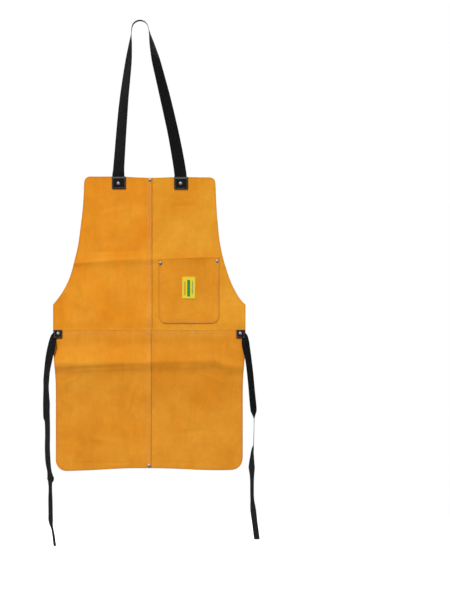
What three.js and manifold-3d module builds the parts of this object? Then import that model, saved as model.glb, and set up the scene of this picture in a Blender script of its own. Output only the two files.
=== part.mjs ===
import * as THREE from 'three';
import { mergeVertices } from 'three/addons/utils/BufferGeometryUtils.js';
import Module from 'manifold-3d';

const wasm = await Module();
wasm.setup();

// A leather bib apron for hot work, hanging by its neck strap. Millimetres, +Z up, front towards -Y.
// The origin is the inside of the top of the neck loop. The four hide panels are placed by
// "across", from the apron's centre line towards +X, and "down", from the line of its top corners.

// Hide and webbing
const leather = 1.4;
const webbing = 1.5;
const clearance = 0.3;

// Outline of the apron
const apronLength = 918;
const bibLength = 476;
const bibTopWidth = 410;
const waistWidth = 598.5;
const hemWidth = 581.5;
const armholeDrop = 397.5;
const armholeCurve = {
  upper: { width: 0.157, drop: 0.542 },
  lower: { width: 0.211, drop: 0.765 },
};
const taperStart = 490;
const taperEnd = 680;
const topCorner = 17;
const hemCornerLeft = 26;
const hemCornerRight = 37;
const topTilt = 1.5;
const topSag = 3.4;
const hemRise = 12;

// Lapped seams: the left panels lie over the right ones, and the skirt lies over the bib
const lap = 20;
const lapClearance = 0.4;
const lapFade = 25;
const bibSeam = 8.9;
const skirtSeam = 6.4;

// Folds that the storage left in the hide
const foldDepth = 6.5;
const foldFade = 100;

// Patch pocket on the right of the bib, with its label
const pocketWidth = 189;
const pocketDepth = 204;
const pocketCentre = 123;
const pocketRise = 19.5;
const pocketTilt = 5.6;
const pocketCorner = 28;
const pocketHold = 13;
const pocketMouth = 10;
const pocketSlack = 1.6;
const labelWidth = 41;
const labelHeight = 68;
const labelDrop = 59;
const labelThickness = 1;

// Neck strap: one piece of webbing from patch to patch
const neckRise = 485;
const loopShift = 28.6;
const loopRadius = 25;
const neckWidth = 38;
const neckHold = 34;
const leftStrapAcross = -96.2;
const rightStrapAcross = 97.3;
const leftLean = 6;
const rightLean = 13.7;

// Waist ties
const tieWidth = 25.4;

// Sewn patches over the strap ends
const patchThickness = 1.2;
const patchCorner = 1.5;
const neckPatchWidth = 43;
const neckPatchHeight = 38.5;
const neckPatchShift = 1.6;
const sidePatchWidth = 27;
const sidePatchHeight = 26;
const sidePatchInset = 1.5;

// Rivets
const rivetHead = 10;
const rivetDome = 2.4;
const rivetShank = 3;
const rivetBurr = 8;
const rivetBurrHeight = 1.2;
const rivetSides = 12;
const rivetBurrTop = 0.8;
const rivetDomeRows = [
  { radius: 0.5, height: 0.86 },
  { radius: 0.85, height: 0.55 },
  { radius: 1, height: 0.25 },
];
const neckRivetDrop = 21;
const sideRivetDrop = 11.6;
const sideRivetInset = 15.9;
const topRivetDrop = 10;
const topRivetAcross = 2.5;
const hemRivetRise = 19;
const hemRivetAcross = -0.6;
const pocketRivetInset = 6.5;
const pocketRivetDrop = 13;

// Where the folds run. down: share of the apron's length at its centre line. slope: rise per
// millimetre towards +X. left, middle, right: how far the hide stands forward, in fold depths, on
// the centre line and from a fold's fade outwards on each side of it.
const foldRows = [
  { down: 0.000, slope: 0.000, left: 0.00, middle: 0.00, right: 0.00 },
  { down: 0.150, slope: 0.000, left: 0.00, middle: 0.00, right: 0.00 },
  { down: 0.236, slope: 0.051, left: 0.00, middle: 0.00, right: 0.00 },
  { down: 0.259, slope: 0.051, left: 0.14, middle: 0.11, right: 0.00 },
  { down: 0.273, slope: 0.051, left: 0.34, middle: 0.29, right: 0.03 },
  { down: 0.281, slope: 0.051, left: 0.48, middle: 0.42, right: 0.05 },
  { down: 0.288, slope: 0.051, left: 0.30, middle: 0.26, right: 0.03 },
  { down: 0.297, slope: 0.051, left: 0.08, middle: 0.07, right: 0.00 },
  { down: 0.316, slope: 0.051, left: 0.00, middle: 0.00, right: 0.00 },
  { down: 0.440, slope: 0.000, left: 0.00, middle: 0.00, right: 0.00 },
  { down: 0.550, slope: 0.000, left: 0.00, middle: 0.00, right: 0.00 },
  { down: 0.568, slope: 0.015, left: 0.06, middle: 0.06, right: 0.05 },
  { down: 0.587, slope: 0.020, left: 0.28, middle: 0.28, right: 0.22 },
  { down: 0.607, slope: 0.020, left: 0.62, middle: 0.62, right: 0.48 },
  { down: 0.620, slope: 0.020, left: 0.90, middle: 0.90, right: 0.72 },
  { down: 0.626, slope: 0.020, left: 1.00, middle: 1.00, right: 0.80 },
  { down: 0.634, slope: 0.020, left: 0.88, middle: 0.88, right: 0.68 },
  { down: 0.644, slope: 0.020, left: 0.50, middle: 0.50, right: 0.38 },
  { down: 0.655, slope: 0.020, left: 0.18, middle: 0.18, right: 0.14 },
  { down: 0.669, slope: 0.020, left: 0.00, middle: 0.00, right: 0.00 },
  { down: 0.760, slope: 0.010, left: -0.34, middle: -0.24, right: -0.18 },
  { down: 0.890, slope: 0.000, left: -0.15, middle: -0.15, right: -0.10 },
  { down: 1.000, slope: 0.000, left: 0.00, middle: 0.00, right: 0.00 },
];

// The legs of the neck strap. climb: share of the rise from the top corners to the origin.
// reach: share of the way in from the patch to the loop. turn: twist from flat, in degrees.
const neckRows = [
  { climb: 0.000, leftReach: 0.000, leftTurn: 0, rightReach: 0.000, rightTurn: 0 },
  { climb: 0.043, leftReach: 0.022, leftTurn: 21, rightReach: 0.022, rightTurn: 11 },
  { climb: 0.158, leftReach: 0.111, leftTurn: 28, rightReach: 0.114, rightTurn: 18 },
  { climb: 0.274, leftReach: 0.207, leftTurn: 32, rightReach: 0.220, rightTurn: 25 },
  { climb: 0.389, leftReach: 0.311, leftTurn: 36, rightReach: 0.342, rightTurn: 28 },
  { climb: 0.505, leftReach: 0.429, leftTurn: 42, rightReach: 0.471, rightTurn: 32 },
  { climb: 0.620, leftReach: 0.584, leftTurn: 48, rightReach: 0.607, rightTurn: 39 },
  { climb: 0.736, leftReach: 0.747, leftTurn: 56, rightReach: 0.747, rightTurn: 46 },
  { climb: 0.845, leftReach: 0.877, leftTurn: 72, rightReach: 0.873, rightTurn: 66 },
];

// The routes of the ties, from the middle of each side patch. drop: downwards. out: away from
// the apron's centre line. depth: in front of the panels' middle plane. turn: twist, in degrees.
// width: share of the tie's width, narrower where the webbing is drawn in under its patch.
const leftTieRows = [
  { drop: -4.0, out: -3.0, depth: 2.7, turn: 0, width: 0.84 },
  { drop: 2.4, out: 4.7, depth: 2.7, turn: 0, width: 0.84 },
  { drop: 7.5, out: 10.6, depth: 2.8, turn: 0, width: 0.84 },
  { drop: 14.5, out: 14.6, depth: 2.9, turn: 0, width: 0.8 },
  { drop: 22.0, out: 16.4, depth: 5.6, turn: 15, width: 0.88 },
  { drop: 31.7, out: 18.0, depth: 7.0, turn: 21, width: 1 },
  { drop: 50.4, out: 22.0, depth: 6.5, turn: 18, width: 1 },
  { drop: 69.0, out: 26.0, depth: 6.0, turn: 24, width: 1 },
  { drop: 87.7, out: 29.3, depth: 5.5, turn: 30, width: 1 },
  { drop: 106.4, out: 32.3, depth: 5.0, turn: 38, width: 1 },
  { drop: 125.0, out: 34.5, depth: 4.5, turn: 41, width: 1 },
  { drop: 143.7, out: 35.9, depth: 4.0, turn: 41, width: 1 },
  { drop: 162.3, out: 36.5, depth: 3.5, turn: 45, width: 1 },
  { drop: 199.7, out: 35.9, depth: 3.0, turn: 36, width: 1 },
  { drop: 218.3, out: 35.4, depth: 3.0, turn: 30, width: 1 },
  { drop: 240.0, out: 35.5, depth: 3.0, turn: 32, width: 1 },
  { drop: 258.0, out: 35.0, depth: 3.0, turn: 33, width: 1 },
  { drop: 272.0, out: 32.6, depth: 3.5, turn: 46, width: 1 },
  { drop: 311.6, out: 31.9, depth: 3.5, turn: 49, width: 1 },
  { drop: 348.9, out: 32.5, depth: 3.0, turn: 48, width: 1 },
  { drop: 386.3, out: 31.3, depth: 3.0, turn: 47, width: 1 },
  { drop: 404.9, out: 29.7, depth: 3.0, turn: 49, width: 1 },
  { drop: 423.6, out: 26.8, depth: 3.0, turn: 54, width: 1 },
  { drop: 441.0, out: 24.2, depth: 4.0, turn: 45, width: 1 },
  { drop: 451.0, out: 23.6, depth: 5.0, turn: 47, width: 1 },
  { drop: 462.0, out: 23.8, depth: 4.0, turn: 58, width: 1 },
  { drop: 479.6, out: 23.3, depth: 3.0, turn: 62, width: 1 },
  { drop: 516.9, out: 23.1, depth: 2.5, turn: 56, width: 1 },
  { drop: 554.2, out: 22.5, depth: 2.5, turn: 55, width: 1 },
  { drop: 577.0, out: 22.4, depth: 2.5, turn: 52, width: 1 },
  { drop: 590.0, out: 21.2, depth: 2.5, turn: 65, width: 1 },
  { drop: 606.0, out: 17.0, depth: 2.5, turn: 77, width: 1 },
  { drop: 628.8, out: 13.1, depth: 2.5, turn: 79, width: 1 },
  { drop: 659.6, out: 9.3, depth: 2.5, turn: 79, width: 1 },
];
const rightTieRows = [
  { drop: -4.0, out: -3.0, depth: 2.7, turn: 0, width: 0.84 },
  { drop: 2.4, out: 4.7, depth: 2.7, turn: 0, width: 0.84 },
  { drop: 7.5, out: 10.4, depth: 2.8, turn: 0, width: 0.84 },
  { drop: 14.5, out: 13.6, depth: 2.9, turn: 0, width: 0.82 },
  { drop: 22.0, out: 14.4, depth: 5.6, turn: 14, width: 0.94 },
  { drop: 31.0, out: 15.3, depth: 7.0, turn: 17, width: 1 },
  { drop: 49.4, out: 18.2, depth: 6.5, turn: 22, width: 1 },
  { drop: 68.1, out: 22.0, depth: 6.0, turn: 34, width: 1 },
  { drop: 86.8, out: 25.0, depth: 5.5, turn: 40, width: 1 },
  { drop: 124.1, out: 29.5, depth: 4.5, turn: 40, width: 1 },
  { drop: 161.4, out: 33.1, depth: 3.5, turn: 41, width: 1 },
  { drop: 198.7, out: 36.5, depth: 3.0, turn: 39, width: 1 },
  { drop: 217.4, out: 38.3, depth: 3.0, turn: 37, width: 1 },
  { drop: 236.0, out: 40.0, depth: 3.0, turn: 40, width: 1 },
  { drop: 254.0, out: 41.3, depth: 3.0, turn: 72, width: 1 },
  { drop: 267.1, out: 41.8, depth: 3.0, turn: 88, width: 1 },
  { drop: 306.0, out: 41.0, depth: 2.5, turn: 90, width: 1 },
  { drop: 345.0, out: 39.8, depth: 2.5, turn: 92, width: 1 },
  { drop: 356.0, out: 37.8, depth: 2.5, turn: 103, width: 1 },
  { drop: 366.7, out: 36.2, depth: 2.5, turn: 112, width: 1 },
  { drop: 385.3, out: 35.1, depth: 3.0, turn: 125, width: 1 },
  { drop: 404.0, out: 34.2, depth: 3.0, turn: 136, width: 1 },
  { drop: 422.6, out: 34.5, depth: 3.0, turn: 135, width: 1 },
  { drop: 441.3, out: 35.0, depth: 3.0, turn: 122, width: 1 },
  { drop: 460.0, out: 35.1, depth: 2.5, turn: 116, width: 1 },
  { drop: 497.3, out: 35.2, depth: 2.5, turn: 115, width: 1 },
  { drop: 515.9, out: 36.1, depth: 2.5, turn: 117, width: 1 },
  { drop: 534.6, out: 37.6, depth: 2.5, turn: 127, width: 1 },
  { drop: 553.3, out: 39.6, depth: 2.5, turn: 134, width: 1 },
  { drop: 590.6, out: 44.3, depth: 2.5, turn: 132, width: 1 },
  { drop: 609.2, out: 46.8, depth: 2.5, turn: 133, width: 1 },
  { drop: 638.6, out: 50.5, depth: 2.5, turn: 131, width: 1 },
];

const looks = {
  leather: { color: 0xe39030, roughness: 0.92, metalness: 0 },
  webbing: { color: 0x1c1d1f, roughness: 0.85, metalness: 0 },
  patch: { color: 0x19191b, roughness: 0.7, metalness: 0 },
  rivet: { color: 0xb9bcc0, roughness: 0.35, metalness: 1 },
  label: { color: 0xe8c62c, roughness: 0.7, metalness: 0 },
};

// Worked out from the sizes above
const pitch = leather + lapClearance;
const topZ = -neckRise;
const seamLow = skirtSeam - lap;
const pocketDrop = bibLength - pocketRise - pocketDepth;
const loopCentreline = loopRadius + webbing / 2;
const pocketLeft = pocketCentre - pocketWidth / 2;
const pocketRight = pocketCentre + pocketWidth / 2;
const lapMargin = 1;
const outerMargin = 12;
const cutDepth = 60;
const edgeSegments = 12;
const pocketSegments = 6;
const holeRadius = rivetShank / 2 + clearance;
const sidePatchAcross = waistWidth / 2 - sidePatchInset - sidePatchWidth / 2;
const sidePatchDrop = bibLength + sidePatchHeight / 2;
const strapDepth = leather / 2 + clearance + webbing / 2;
const patchDepth = strapDepth + webbing / 2 + clearance + patchThickness / 2;

const worldX = (across) => loopShift + across;
const worldZ = (down) => topZ - down;
const radians = (degrees) => THREE.MathUtils.degToRad(degrees);
const mix = (a, b, share) => a + (b - a) * share;

// One value of a table at any height, straight between its rows
function rowValue(rows, down, column) {
  const share = down / apronLength;
  if (share <= rows[0].down) {
    return rows[0][column];
  }
  for (let i = 1; i < rows.length; i += 1) {
    const low = rows[i - 1];
    const high = rows[i];
    if (share <= high.down) {
      return mix(low[column], high[column], (share - low.down) / (high.down - low.down));
    }
  }
  return rows[rows.length - 1][column];
}

// 1 between low and high, straight down to 0 a fade's length outside them
function plateau(value, low, high, fade) {
  const outside = Math.max(low - value, value - high, 0);
  return Math.max(0, 1 - outside / fade);
}

// How far the hide stands forward at a fold row
function relief(across, down) {
  const middle = rowValue(foldRows, down, 'middle');
  const edge = rowValue(foldRows, down, across < 0 ? 'left' : 'right');
  return foldDepth * mix(middle, edge, Math.min(1, Math.abs(across) / foldFade));
}

// Y of a panel's middle. side: -1 left, +1 right. level: -1 skirt, +1 bib.
function panelMiddle(side, level, across, down) {
  const upright = plateau(across, seamLow - lapMargin, bibSeam + lapMargin, lapFade);
  const waist = plateau(down, bibLength - lapMargin, bibLength + lap + lapMargin, lapFade);
  const step = side * upright / 2 + level * waist * (1 + upright) / 2;
  return step * pitch - relief(across, down);
}

// How far the pocket bellies away from the bib
function belly(across, down) {
  const low = pocketLeft + pocketHold;
  const high = pocketRight - pocketHold;
  const u = THREE.MathUtils.clamp((across - low) / (high - low), 0, 1);
  const v = THREE.MathUtils.clamp((down - pocketDrop) / (pocketDepth - pocketHold), 0, 1);
  return pocketMouth * Math.sin(Math.PI * u) * (1 - v) ** pocketSlack;
}

const pocketMiddle = (across, down) =>
  panelMiddle(1, 1, across, down) - leather - clearance - belly(across, down);
const labelMiddle = (across, down) =>
  pocketMiddle(across, down) - leather / 2 - clearance - labelThickness / 2;

// Grid lines that every layer shares, so that neighbouring layers bend along the same lines
function gridLines(values) {
  const minimumStep = 0.5;
  const sorted = [...values].sort((a, b) => a - b);
  return sorted.filter((value, i) => i === 0 || value - sorted[i - 1] > minimumStep);
}

function spanning(lines, low, high) {
  const first = lines.findLastIndex((line) => line < low);
  const last = lines.findIndex((line) => line > high);
  return lines.slice(first, last + 1);
}

const pocketShares = [0, 0.12, 0.26, 0.42, 0.58, 0.74, 0.88, 1];
const pocketFalls = [0.1, 0.25, 0.42, 0.6, 0.8];
const columns = gridLines([
  -waistWidth / 2 - outerMargin,
  -waistWidth / 3,
  -foldFade,
  seamLow - lapMargin - lapFade,
  seamLow - lapMargin,
  bibSeam + lapMargin,
  bibSeam + lapMargin + lapFade,
  pocketLeft - lapMargin,
  ...pocketShares.map((share) => mix(pocketLeft + pocketHold, pocketRight - pocketHold, share)),
  pocketRight + lapMargin,
  foldFade,
  waistWidth / 2 + outerMargin,
]);
const rows = gridLines([
  -outerMargin,
  ...foldRows.map((row) => row.down * apronLength),
  pocketDrop,
  ...pocketFalls.map((share) => pocketDrop + share * pocketDepth),
  pocketDrop + pocketDepth - pocketHold,
  bibLength - lapMargin - lapFade,
  bibLength - lapMargin,
  bibLength + lap + lapMargin,
  bibLength + lap + lapMargin + lapFade,
  apronLength + outerMargin,
]);
const rowDrop = (across, down) => down - across * rowValue(foldRows, down, 'slope');

// The row that passes through a place on the apron
function rowAt(across, drop) {
  const tries = 6;
  let down = drop;
  for (let i = 0; i < tries; i += 1) {
    down += drop - rowDrop(across, down);
  }
  return down;
}

// A closed mesh from its corners and its faces of three or four corners
function closedMesh(corners, faces) {
  const geometry = new THREE.BufferGeometry();
  const index = [];
  for (const [a, b, c, d] of faces) {
    index.push(a, b, c);
    if (d !== undefined) {
      index.push(a, c, d);
    }
  }
  geometry.setAttribute('position', new THREE.Float32BufferAttribute(corners.flat(), 3));
  geometry.setIndex(index);
  return geometry;
}

// A bent sheet of even thickness over the shared grid
function sheetGeometry(across, down, middle, thickness) {
  const wide = across.length;
  const tall = down.length;
  const corners = [];
  for (const face of [-1, 1]) {
    for (const d of down) {
      for (const a of across) {
        corners.push([worldX(a), middle(a, d) + face * thickness / 2, worldZ(rowDrop(a, d))]);
      }
    }
  }
  const front = (i, j) => j * wide + i;
  const back = (i, j) => wide * tall + j * wide + i;
  const faces = [];
  for (let j = 0; j < tall - 1; j += 1) {
    for (let i = 0; i < wide - 1; i += 1) {
      faces.push([front(i, j), front(i, j + 1), front(i + 1, j + 1), front(i + 1, j)]);
      faces.push([back(i, j), back(i + 1, j), back(i + 1, j + 1), back(i, j + 1)]);
    }
  }
  for (let i = 0; i < wide - 1; i += 1) {
    faces.push([front(i, 0), front(i + 1, 0), back(i + 1, 0), back(i, 0)]);
    faces.push([front(i + 1, tall - 1), front(i, tall - 1), back(i, tall - 1), back(i + 1, tall - 1)]);
  }
  for (let j = 0; j < tall - 1; j += 1) {
    faces.push([front(0, j + 1), front(0, j), back(0, j), back(0, j + 1)]);
    faces.push([front(wide - 1, j), front(wide - 1, j + 1), back(wide - 1, j + 1), back(wide - 1, j)]);
  }
  return closedMesh(corners, faces);
}

// A flat strap along stations { point, turn, share of the width }. The section across it has its
// corners in front and behind at both edges and on the centre line, and both sides are split along
// the same diagonals, so that a twisted stretch keeps its thickness.
function ribbonGeometry(stations, width, thickness) {
  const section = [[1, 1], [0, 1], [-1, 1], [-1, -1], [0, -1], [1, -1]];
  const count = section.length;
  const corners = [];
  const faces = [];
  const depthAxis = new THREE.Vector3(0, 1, 0);
  stations.forEach(({ point, turn, share = 1 }, i) => {
    const before = stations[Math.max(0, i - 1)].point;
    const after = stations[Math.min(stations.length - 1, i + 1)].point;
    const along = after.clone().sub(before).normalize();
    const level = along.clone().cross(depthAxis).normalize();
    const deep = level.clone().cross(along);
    const half = level.multiplyScalar(Math.cos(turn)).addScaledVector(deep, Math.sin(turn));
    const normal = half.clone().cross(along);
    for (const [w, n] of section) {
      const corner = point.clone();
      corner.addScaledVector(half, w * share * width / 2);
      corner.addScaledVector(normal, n * thickness / 2);
      corners.push(corner.toArray());
    }
    if (i === 0) {
      return;
    }
    for (let k = 0; k < count; k += 1) {
      const a = (i - 1) * count + k;
      const b = (i - 1) * count + (k + 1) % count;
      const inFront = k < count / 2;
      faces.push(inFront ? [a, a + count, b + count, b] : [b, a, a + count, b + count]);
    }
  });
  const end = corners.length - count;
  faces.push([0, 1, 4, 5], [1, 2, 3, 4]);
  faces.push([end + 5, end + 4, end + 1, end], [end + 4, end + 3, end + 2, end + 1]);
  return closedMesh(corners, faces);
}

// A shape drawn in X and Z, as a prism through the whole apron from front to back
function prismGeometry(shape, curveSegments) {
  const geometry = new THREE.ExtrudeGeometry(shape, {
    depth: cutDepth,
    bevelEnabled: false,
    curveSegments,
  });
  geometry.rotateX(Math.PI / 2);
  geometry.translate(0, cutDepth / 2, 0);
  return geometry;
}

function toSolid(geometry) {
  const bare = geometry.clone();
  bare.deleteAttribute('normal');
  bare.deleteAttribute('uv');
  const merged = mergeVertices(bare, 1e-4);
  return new wasm.Manifold(new wasm.Mesh({
    numProp: 3,
    vertProperties: new Float32Array(merged.attributes.position.array),
    triVerts: new Uint32Array(merged.index.array),
  }));
}

function toGeometry(solid) {
  const mesh = solid.getMesh();
  const geometry = new THREE.BufferGeometry();
  geometry.setAttribute('position', new THREE.Float32BufferAttribute(mesh.vertProperties, 3));
  geometry.setIndex(new THREE.Uint32BufferAttribute(mesh.triVerts, 1));
  geometry.computeVertexNormals();
  return geometry;
}

// A round hole through every layer, from front to back
function drill(solid, across, drop) {
  const bit = new THREE.CylinderGeometry(holeRadius, holeRadius, cutDepth, rivetSides);
  bit.translate(worldX(across), 0, worldZ(drop));
  return solid.subtract(toSolid(bit));
}

const topEdge = (across) => {
  const share = across / (bibTopWidth / 2);
  return share * topTilt + (1 - share * share) * topSag;
};

// The whole apron's outline, once round from the lower left corner
function apronShape() {
  const shape = new THREE.Shape();
  const to = (across, down) => [worldX(across), worldZ(down)];
  const hem = hemWidth / 2;
  const waist = waistWidth / 2;
  const bib = bibTopWidth / 2;
  const armholeStart = topCorner + topTilt;
  const armholeHandle = ({ width, drop }, hand) =>
    to(hand * mix(bib, waist, width), armholeDrop * drop);
  const taper = (taperEnd - taperStart) / 2;
  const hemBend = 2 * hemRise / hem;
  shape.moveTo(...to(-hem, apronLength - hemCornerLeft));
  shape.quadraticCurveTo(
    ...to(-hem, apronLength),
    ...to(hemCornerLeft - hem, apronLength - hemBend * hemCornerLeft),
  );
  shape.quadraticCurveTo(
    ...to(0, apronLength - 2 * hemRise),
    ...to(hem - hemCornerRight, apronLength - hemBend * hemCornerRight),
  );
  shape.quadraticCurveTo(...to(hem, apronLength), ...to(hem, apronLength - hemCornerRight));
  shape.lineTo(...to(hem, taperEnd));
  shape.bezierCurveTo(
    ...to(hem, taperEnd - taper),
    ...to(waist, taperStart + taper),
    ...to(waist, taperStart),
  );
  shape.lineTo(...to(waist, armholeDrop));
  shape.bezierCurveTo(
    ...armholeHandle(armholeCurve.lower, 1),
    ...armholeHandle(armholeCurve.upper, 1),
    ...to(bib, armholeStart),
  );
  shape.quadraticCurveTo(...to(bib, topTilt), ...to(bib - topCorner, topEdge(bib - topCorner)));
  const topSteps = 8;
  for (let i = 1; i < topSteps; i += 1) {
    const across = mix(bib - topCorner, topCorner - bib, i / topSteps);
    shape.lineTo(...to(across, topEdge(across)));
  }
  shape.lineTo(...to(topCorner - bib, topEdge(topCorner - bib)));
  shape.quadraticCurveTo(...to(-bib, -topTilt), ...to(-bib, armholeStart));
  shape.bezierCurveTo(
    ...armholeHandle(armholeCurve.upper, -1),
    ...armholeHandle(armholeCurve.lower, -1),
    ...to(-waist, armholeDrop),
  );
  shape.lineTo(...to(-waist, taperStart));
  shape.bezierCurveTo(
    ...to(-waist, taperStart + taper),
    ...to(-hem, taperEnd - taper),
    ...to(-hem, taperEnd),
  );
  return shape;
}

function rectangle(left, right, top, bottom) {
  const shape = new THREE.Shape();
  shape.moveTo(worldX(left), worldZ(bottom));
  shape.lineTo(worldX(right), worldZ(bottom));
  shape.lineTo(worldX(right), worldZ(top));
  shape.lineTo(worldX(left), worldZ(top));
  return shape;
}

// One hide panel: the bent sheet, cut to the apron's outline and to its own seams
const outline = toSolid(prismGeometry(apronShape(), edgeSegments));
function panel(side, level) {
  const reach = waistWidth;
  const seam = level > 0 ? bibSeam : skirtSeam;
  const left = side < 0 ? -reach : seam - lap;
  const right = side < 0 ? seam : reach;
  const top = level > 0 ? -reach : bibLength;
  const bottom = level > 0 ? bibLength + lap : apronLength + reach;
  const own = toSolid(prismGeometry(rectangle(left, right, top, bottom)));
  const across = spanning(
    columns,
    Math.max(left, columns[0] + lapMargin),
    Math.min(right, columns.at(-1) - lapMargin),
  );
  const down = spanning(
    rows,
    Math.max(top, rows[0] + lapMargin),
    Math.min(bottom, rows.at(-1) - lapMargin),
  );
  const middle = (a, d) => panelMiddle(side, level, a, d);
  return toSolid(sheetGeometry(across, down, middle, leather)).intersect(outline).intersect(own);
}

function pocketShape() {
  const shape = new THREE.Shape();
  const bottom = pocketDrop + pocketDepth;
  const to = (across, down) => [worldX(across), worldZ(down)];
  shape.moveTo(...to(pocketLeft, pocketDrop + pocketTilt / 2));
  shape.lineTo(...to(pocketLeft, bottom - pocketCorner));
  shape.quadraticCurveTo(...to(pocketLeft, bottom), ...to(pocketLeft + pocketCorner, bottom));
  shape.lineTo(...to(pocketRight - pocketCorner, bottom));
  shape.quadraticCurveTo(...to(pocketRight, bottom), ...to(pocketRight, bottom - pocketCorner));
  shape.lineTo(...to(pocketRight, pocketDrop - pocketTilt / 2));
  return shape;
}

function overSheet(shape, left, right, top, bottom, middle, thickness) {
  const across = spanning(columns, left, right);
  const down = spanning(rows, top, bottom);
  const edge = toSolid(prismGeometry(shape, pocketSegments));
  return toSolid(sheetGeometry(across, down, middle, thickness)).intersect(edge);
}

function neckStations() {
  const stations = [];
  const add = (x, y, z, turn) =>
    stations.push({ point: new THREE.Vector3(x, y, z), turn: radians(turn) });
  const tangent = (lean) => loopCentreline * Math.cos(radians(lean));
  const leg = (row, across, end, reach, turn) => {
    const x = mix(worldX(across), end, reach);
    add(x, -strapDepth * (1 - row.climb), topZ * (1 - row.climb), turn);
  };
  add(worldX(leftStrapAcross), -strapDepth, worldZ(neckHold), 0);
  neckRows.forEach((row) => leg(row, leftStrapAcross, -tangent(leftLean), row.leftReach, row.leftTurn));
  const arcSteps = 10;
  for (let i = 0; i <= arcSteps; i += 1) {
    const angle = radians(mix(180 - leftLean, rightLean, i / arcSteps));
    add(loopCentreline * Math.cos(angle), 0, -loopRadius + loopCentreline * Math.sin(angle), 90);
  }
  [...neckRows].reverse().forEach((row) =>
    leg(row, rightStrapAcross, tangent(rightLean), row.rightReach, row.rightTurn));
  add(worldX(rightStrapAcross), -strapDepth, worldZ(neckHold), 0);
  return stations;
}

const seamFront = panelMiddle(-1, -1, -sidePatchAcross, sidePatchDrop);
function tieStations(side, route) {
  return route.map(({ drop, out, depth, turn, width }) => ({
    point: new THREE.Vector3(
      worldX(side * (sidePatchAcross + out)),
      -depth,
      worldZ(sidePatchDrop + drop),
    ),
    turn: radians(side * turn),
    share: width,
  }));
}

// A flat patch of hide with small round corners and its rivet hole
function patchGeometry(width, height, across, drop, y, hole) {
  const shape = new THREE.Shape();
  const w = width / 2;
  const h = height / 2;
  const r = patchCorner;
  shape.moveTo(-w, r - h);
  shape.quadraticCurveTo(-w, -h, r - w, -h);
  shape.lineTo(w - r, -h);
  shape.quadraticCurveTo(w, -h, w, r - h);
  shape.lineTo(w, h - r);
  shape.quadraticCurveTo(w, h, w - r, h);
  shape.lineTo(r - w, h);
  shape.quadraticCurveTo(-w, h, -w, h - r);
  const bore = new THREE.Path();
  bore.absarc(hole.across - across, drop - hole.drop, holeRadius, 0, 2 * Math.PI, true);
  shape.holes.push(bore);
  const geometry = new THREE.ExtrudeGeometry(shape, {
    depth: patchThickness,
    bevelEnabled: false,
    curveSegments: rivetSides / 2,
  });
  geometry.translate(0, 0, -patchThickness / 2);
  geometry.rotateX(Math.PI / 2);
  geometry.translate(worldX(across), y, worldZ(drop));
  return geometry;
}

// A rivet with its domed head in front of the layers and its burr behind them
function rivetGeometry(front, back) {
  const head = rivetHead / 2;
  const shank = rivetShank / 2;
  const burr = rivetBurr / 2;
  const profile = [
    [0, front - rivetDome],
    ...rivetDomeRows.map(({ radius, height }) => [head * radius, front - rivetDome * height]),
    [head, front],
    [shank, front],
    [shank, back],
    [burr, back],
    [burr * rivetBurrTop, back + rivetBurrHeight],
    [0, back + rivetBurrHeight],
  ];
  const points = profile.map(([radius, y]) => new THREE.Vector2(radius, y));
  return new THREE.LatheGeometry(points, rivetSides);
}

// The foremost or hindmost Y of a surface within a circle
function reachY(surface, across, drop, radius, pick) {
  const steps = 12;
  const found = [surface(across, rowAt(across, drop))];
  for (const share of [0.5, 1]) {
    for (let i = 0; i < steps; i += 1) {
      const angle = 2 * Math.PI * i / steps;
      const a = across + share * radius * Math.cos(angle);
      const d = drop + share * radius * Math.sin(angle);
      found.push(surface(a, rowAt(a, d)));
    }
  }
  return pick(...found);
}

const group = new THREE.Group();
function add(name, geometry, look) {
  const mesh = new THREE.Mesh(geometry, new THREE.MeshStandardMaterial(looks[look]));
  mesh.name = name;
  group.add(mesh);
}

// Where each rivet goes through
const sideRivet = waistWidth / 2 - sideRivetInset;
const strapFront = -patchDepth - patchThickness / 2;
const sideFront = strapFront + seamFront;
const rivets = {
  neck_left: { across: leftStrapAcross, drop: neckRivetDrop },
  neck_right: { across: rightStrapAcross, drop: neckRivetDrop },
  side_left: { across: -sideRivet, drop: bibLength + sideRivetDrop },
  side_right: { across: sideRivet, drop: bibLength + sideRivetDrop },
  bib_top: { across: topRivetAcross, drop: topRivetDrop },
  hem: { across: hemRivetAcross, drop: apronLength - hemRivetRise },
  pocket_left: {
    across: pocketLeft + pocketRivetInset,
    drop: pocketDrop + pocketTilt / 2 + pocketRivetDrop,
  },
  pocket_right: {
    across: pocketRight - pocketRivetInset,
    drop: pocketDrop - pocketTilt / 2 + pocketRivetDrop,
  },
};
const drilled = (solid, ...names) =>
  names.reduce((rest, name) => drill(rest, rivets[name].across, rivets[name].drop), solid);

add('bib_left', toGeometry(drilled(panel(-1, 1), 'neck_left', 'side_left', 'bib_top')), 'leather');
add('bib_right', toGeometry(drilled(
  panel(1, 1), 'neck_right', 'side_right', 'bib_top', 'pocket_left', 'pocket_right',
)), 'leather');
add('skirt_left', toGeometry(drilled(panel(-1, -1), 'side_left', 'hem')), 'leather');
add('skirt_right', toGeometry(drilled(panel(1, -1), 'side_right', 'hem')), 'leather');

const pocket = overSheet(
  pocketShape(),
  pocketLeft,
  pocketRight,
  pocketDrop - outerMargin,
  pocketDrop + pocketDepth,
  pocketMiddle,
  leather,
);
add('pocket', toGeometry(drilled(pocket, 'pocket_left', 'pocket_right')), 'leather');
const labelTop = pocketDrop + labelDrop;
const labelSides = [
  pocketCentre - labelWidth / 2,
  pocketCentre + labelWidth / 2,
  labelTop,
  labelTop + labelHeight,
];
const label = overSheet(rectangle(...labelSides), ...labelSides, labelMiddle, labelThickness);
add('label', toGeometry(label), 'label');

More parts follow.
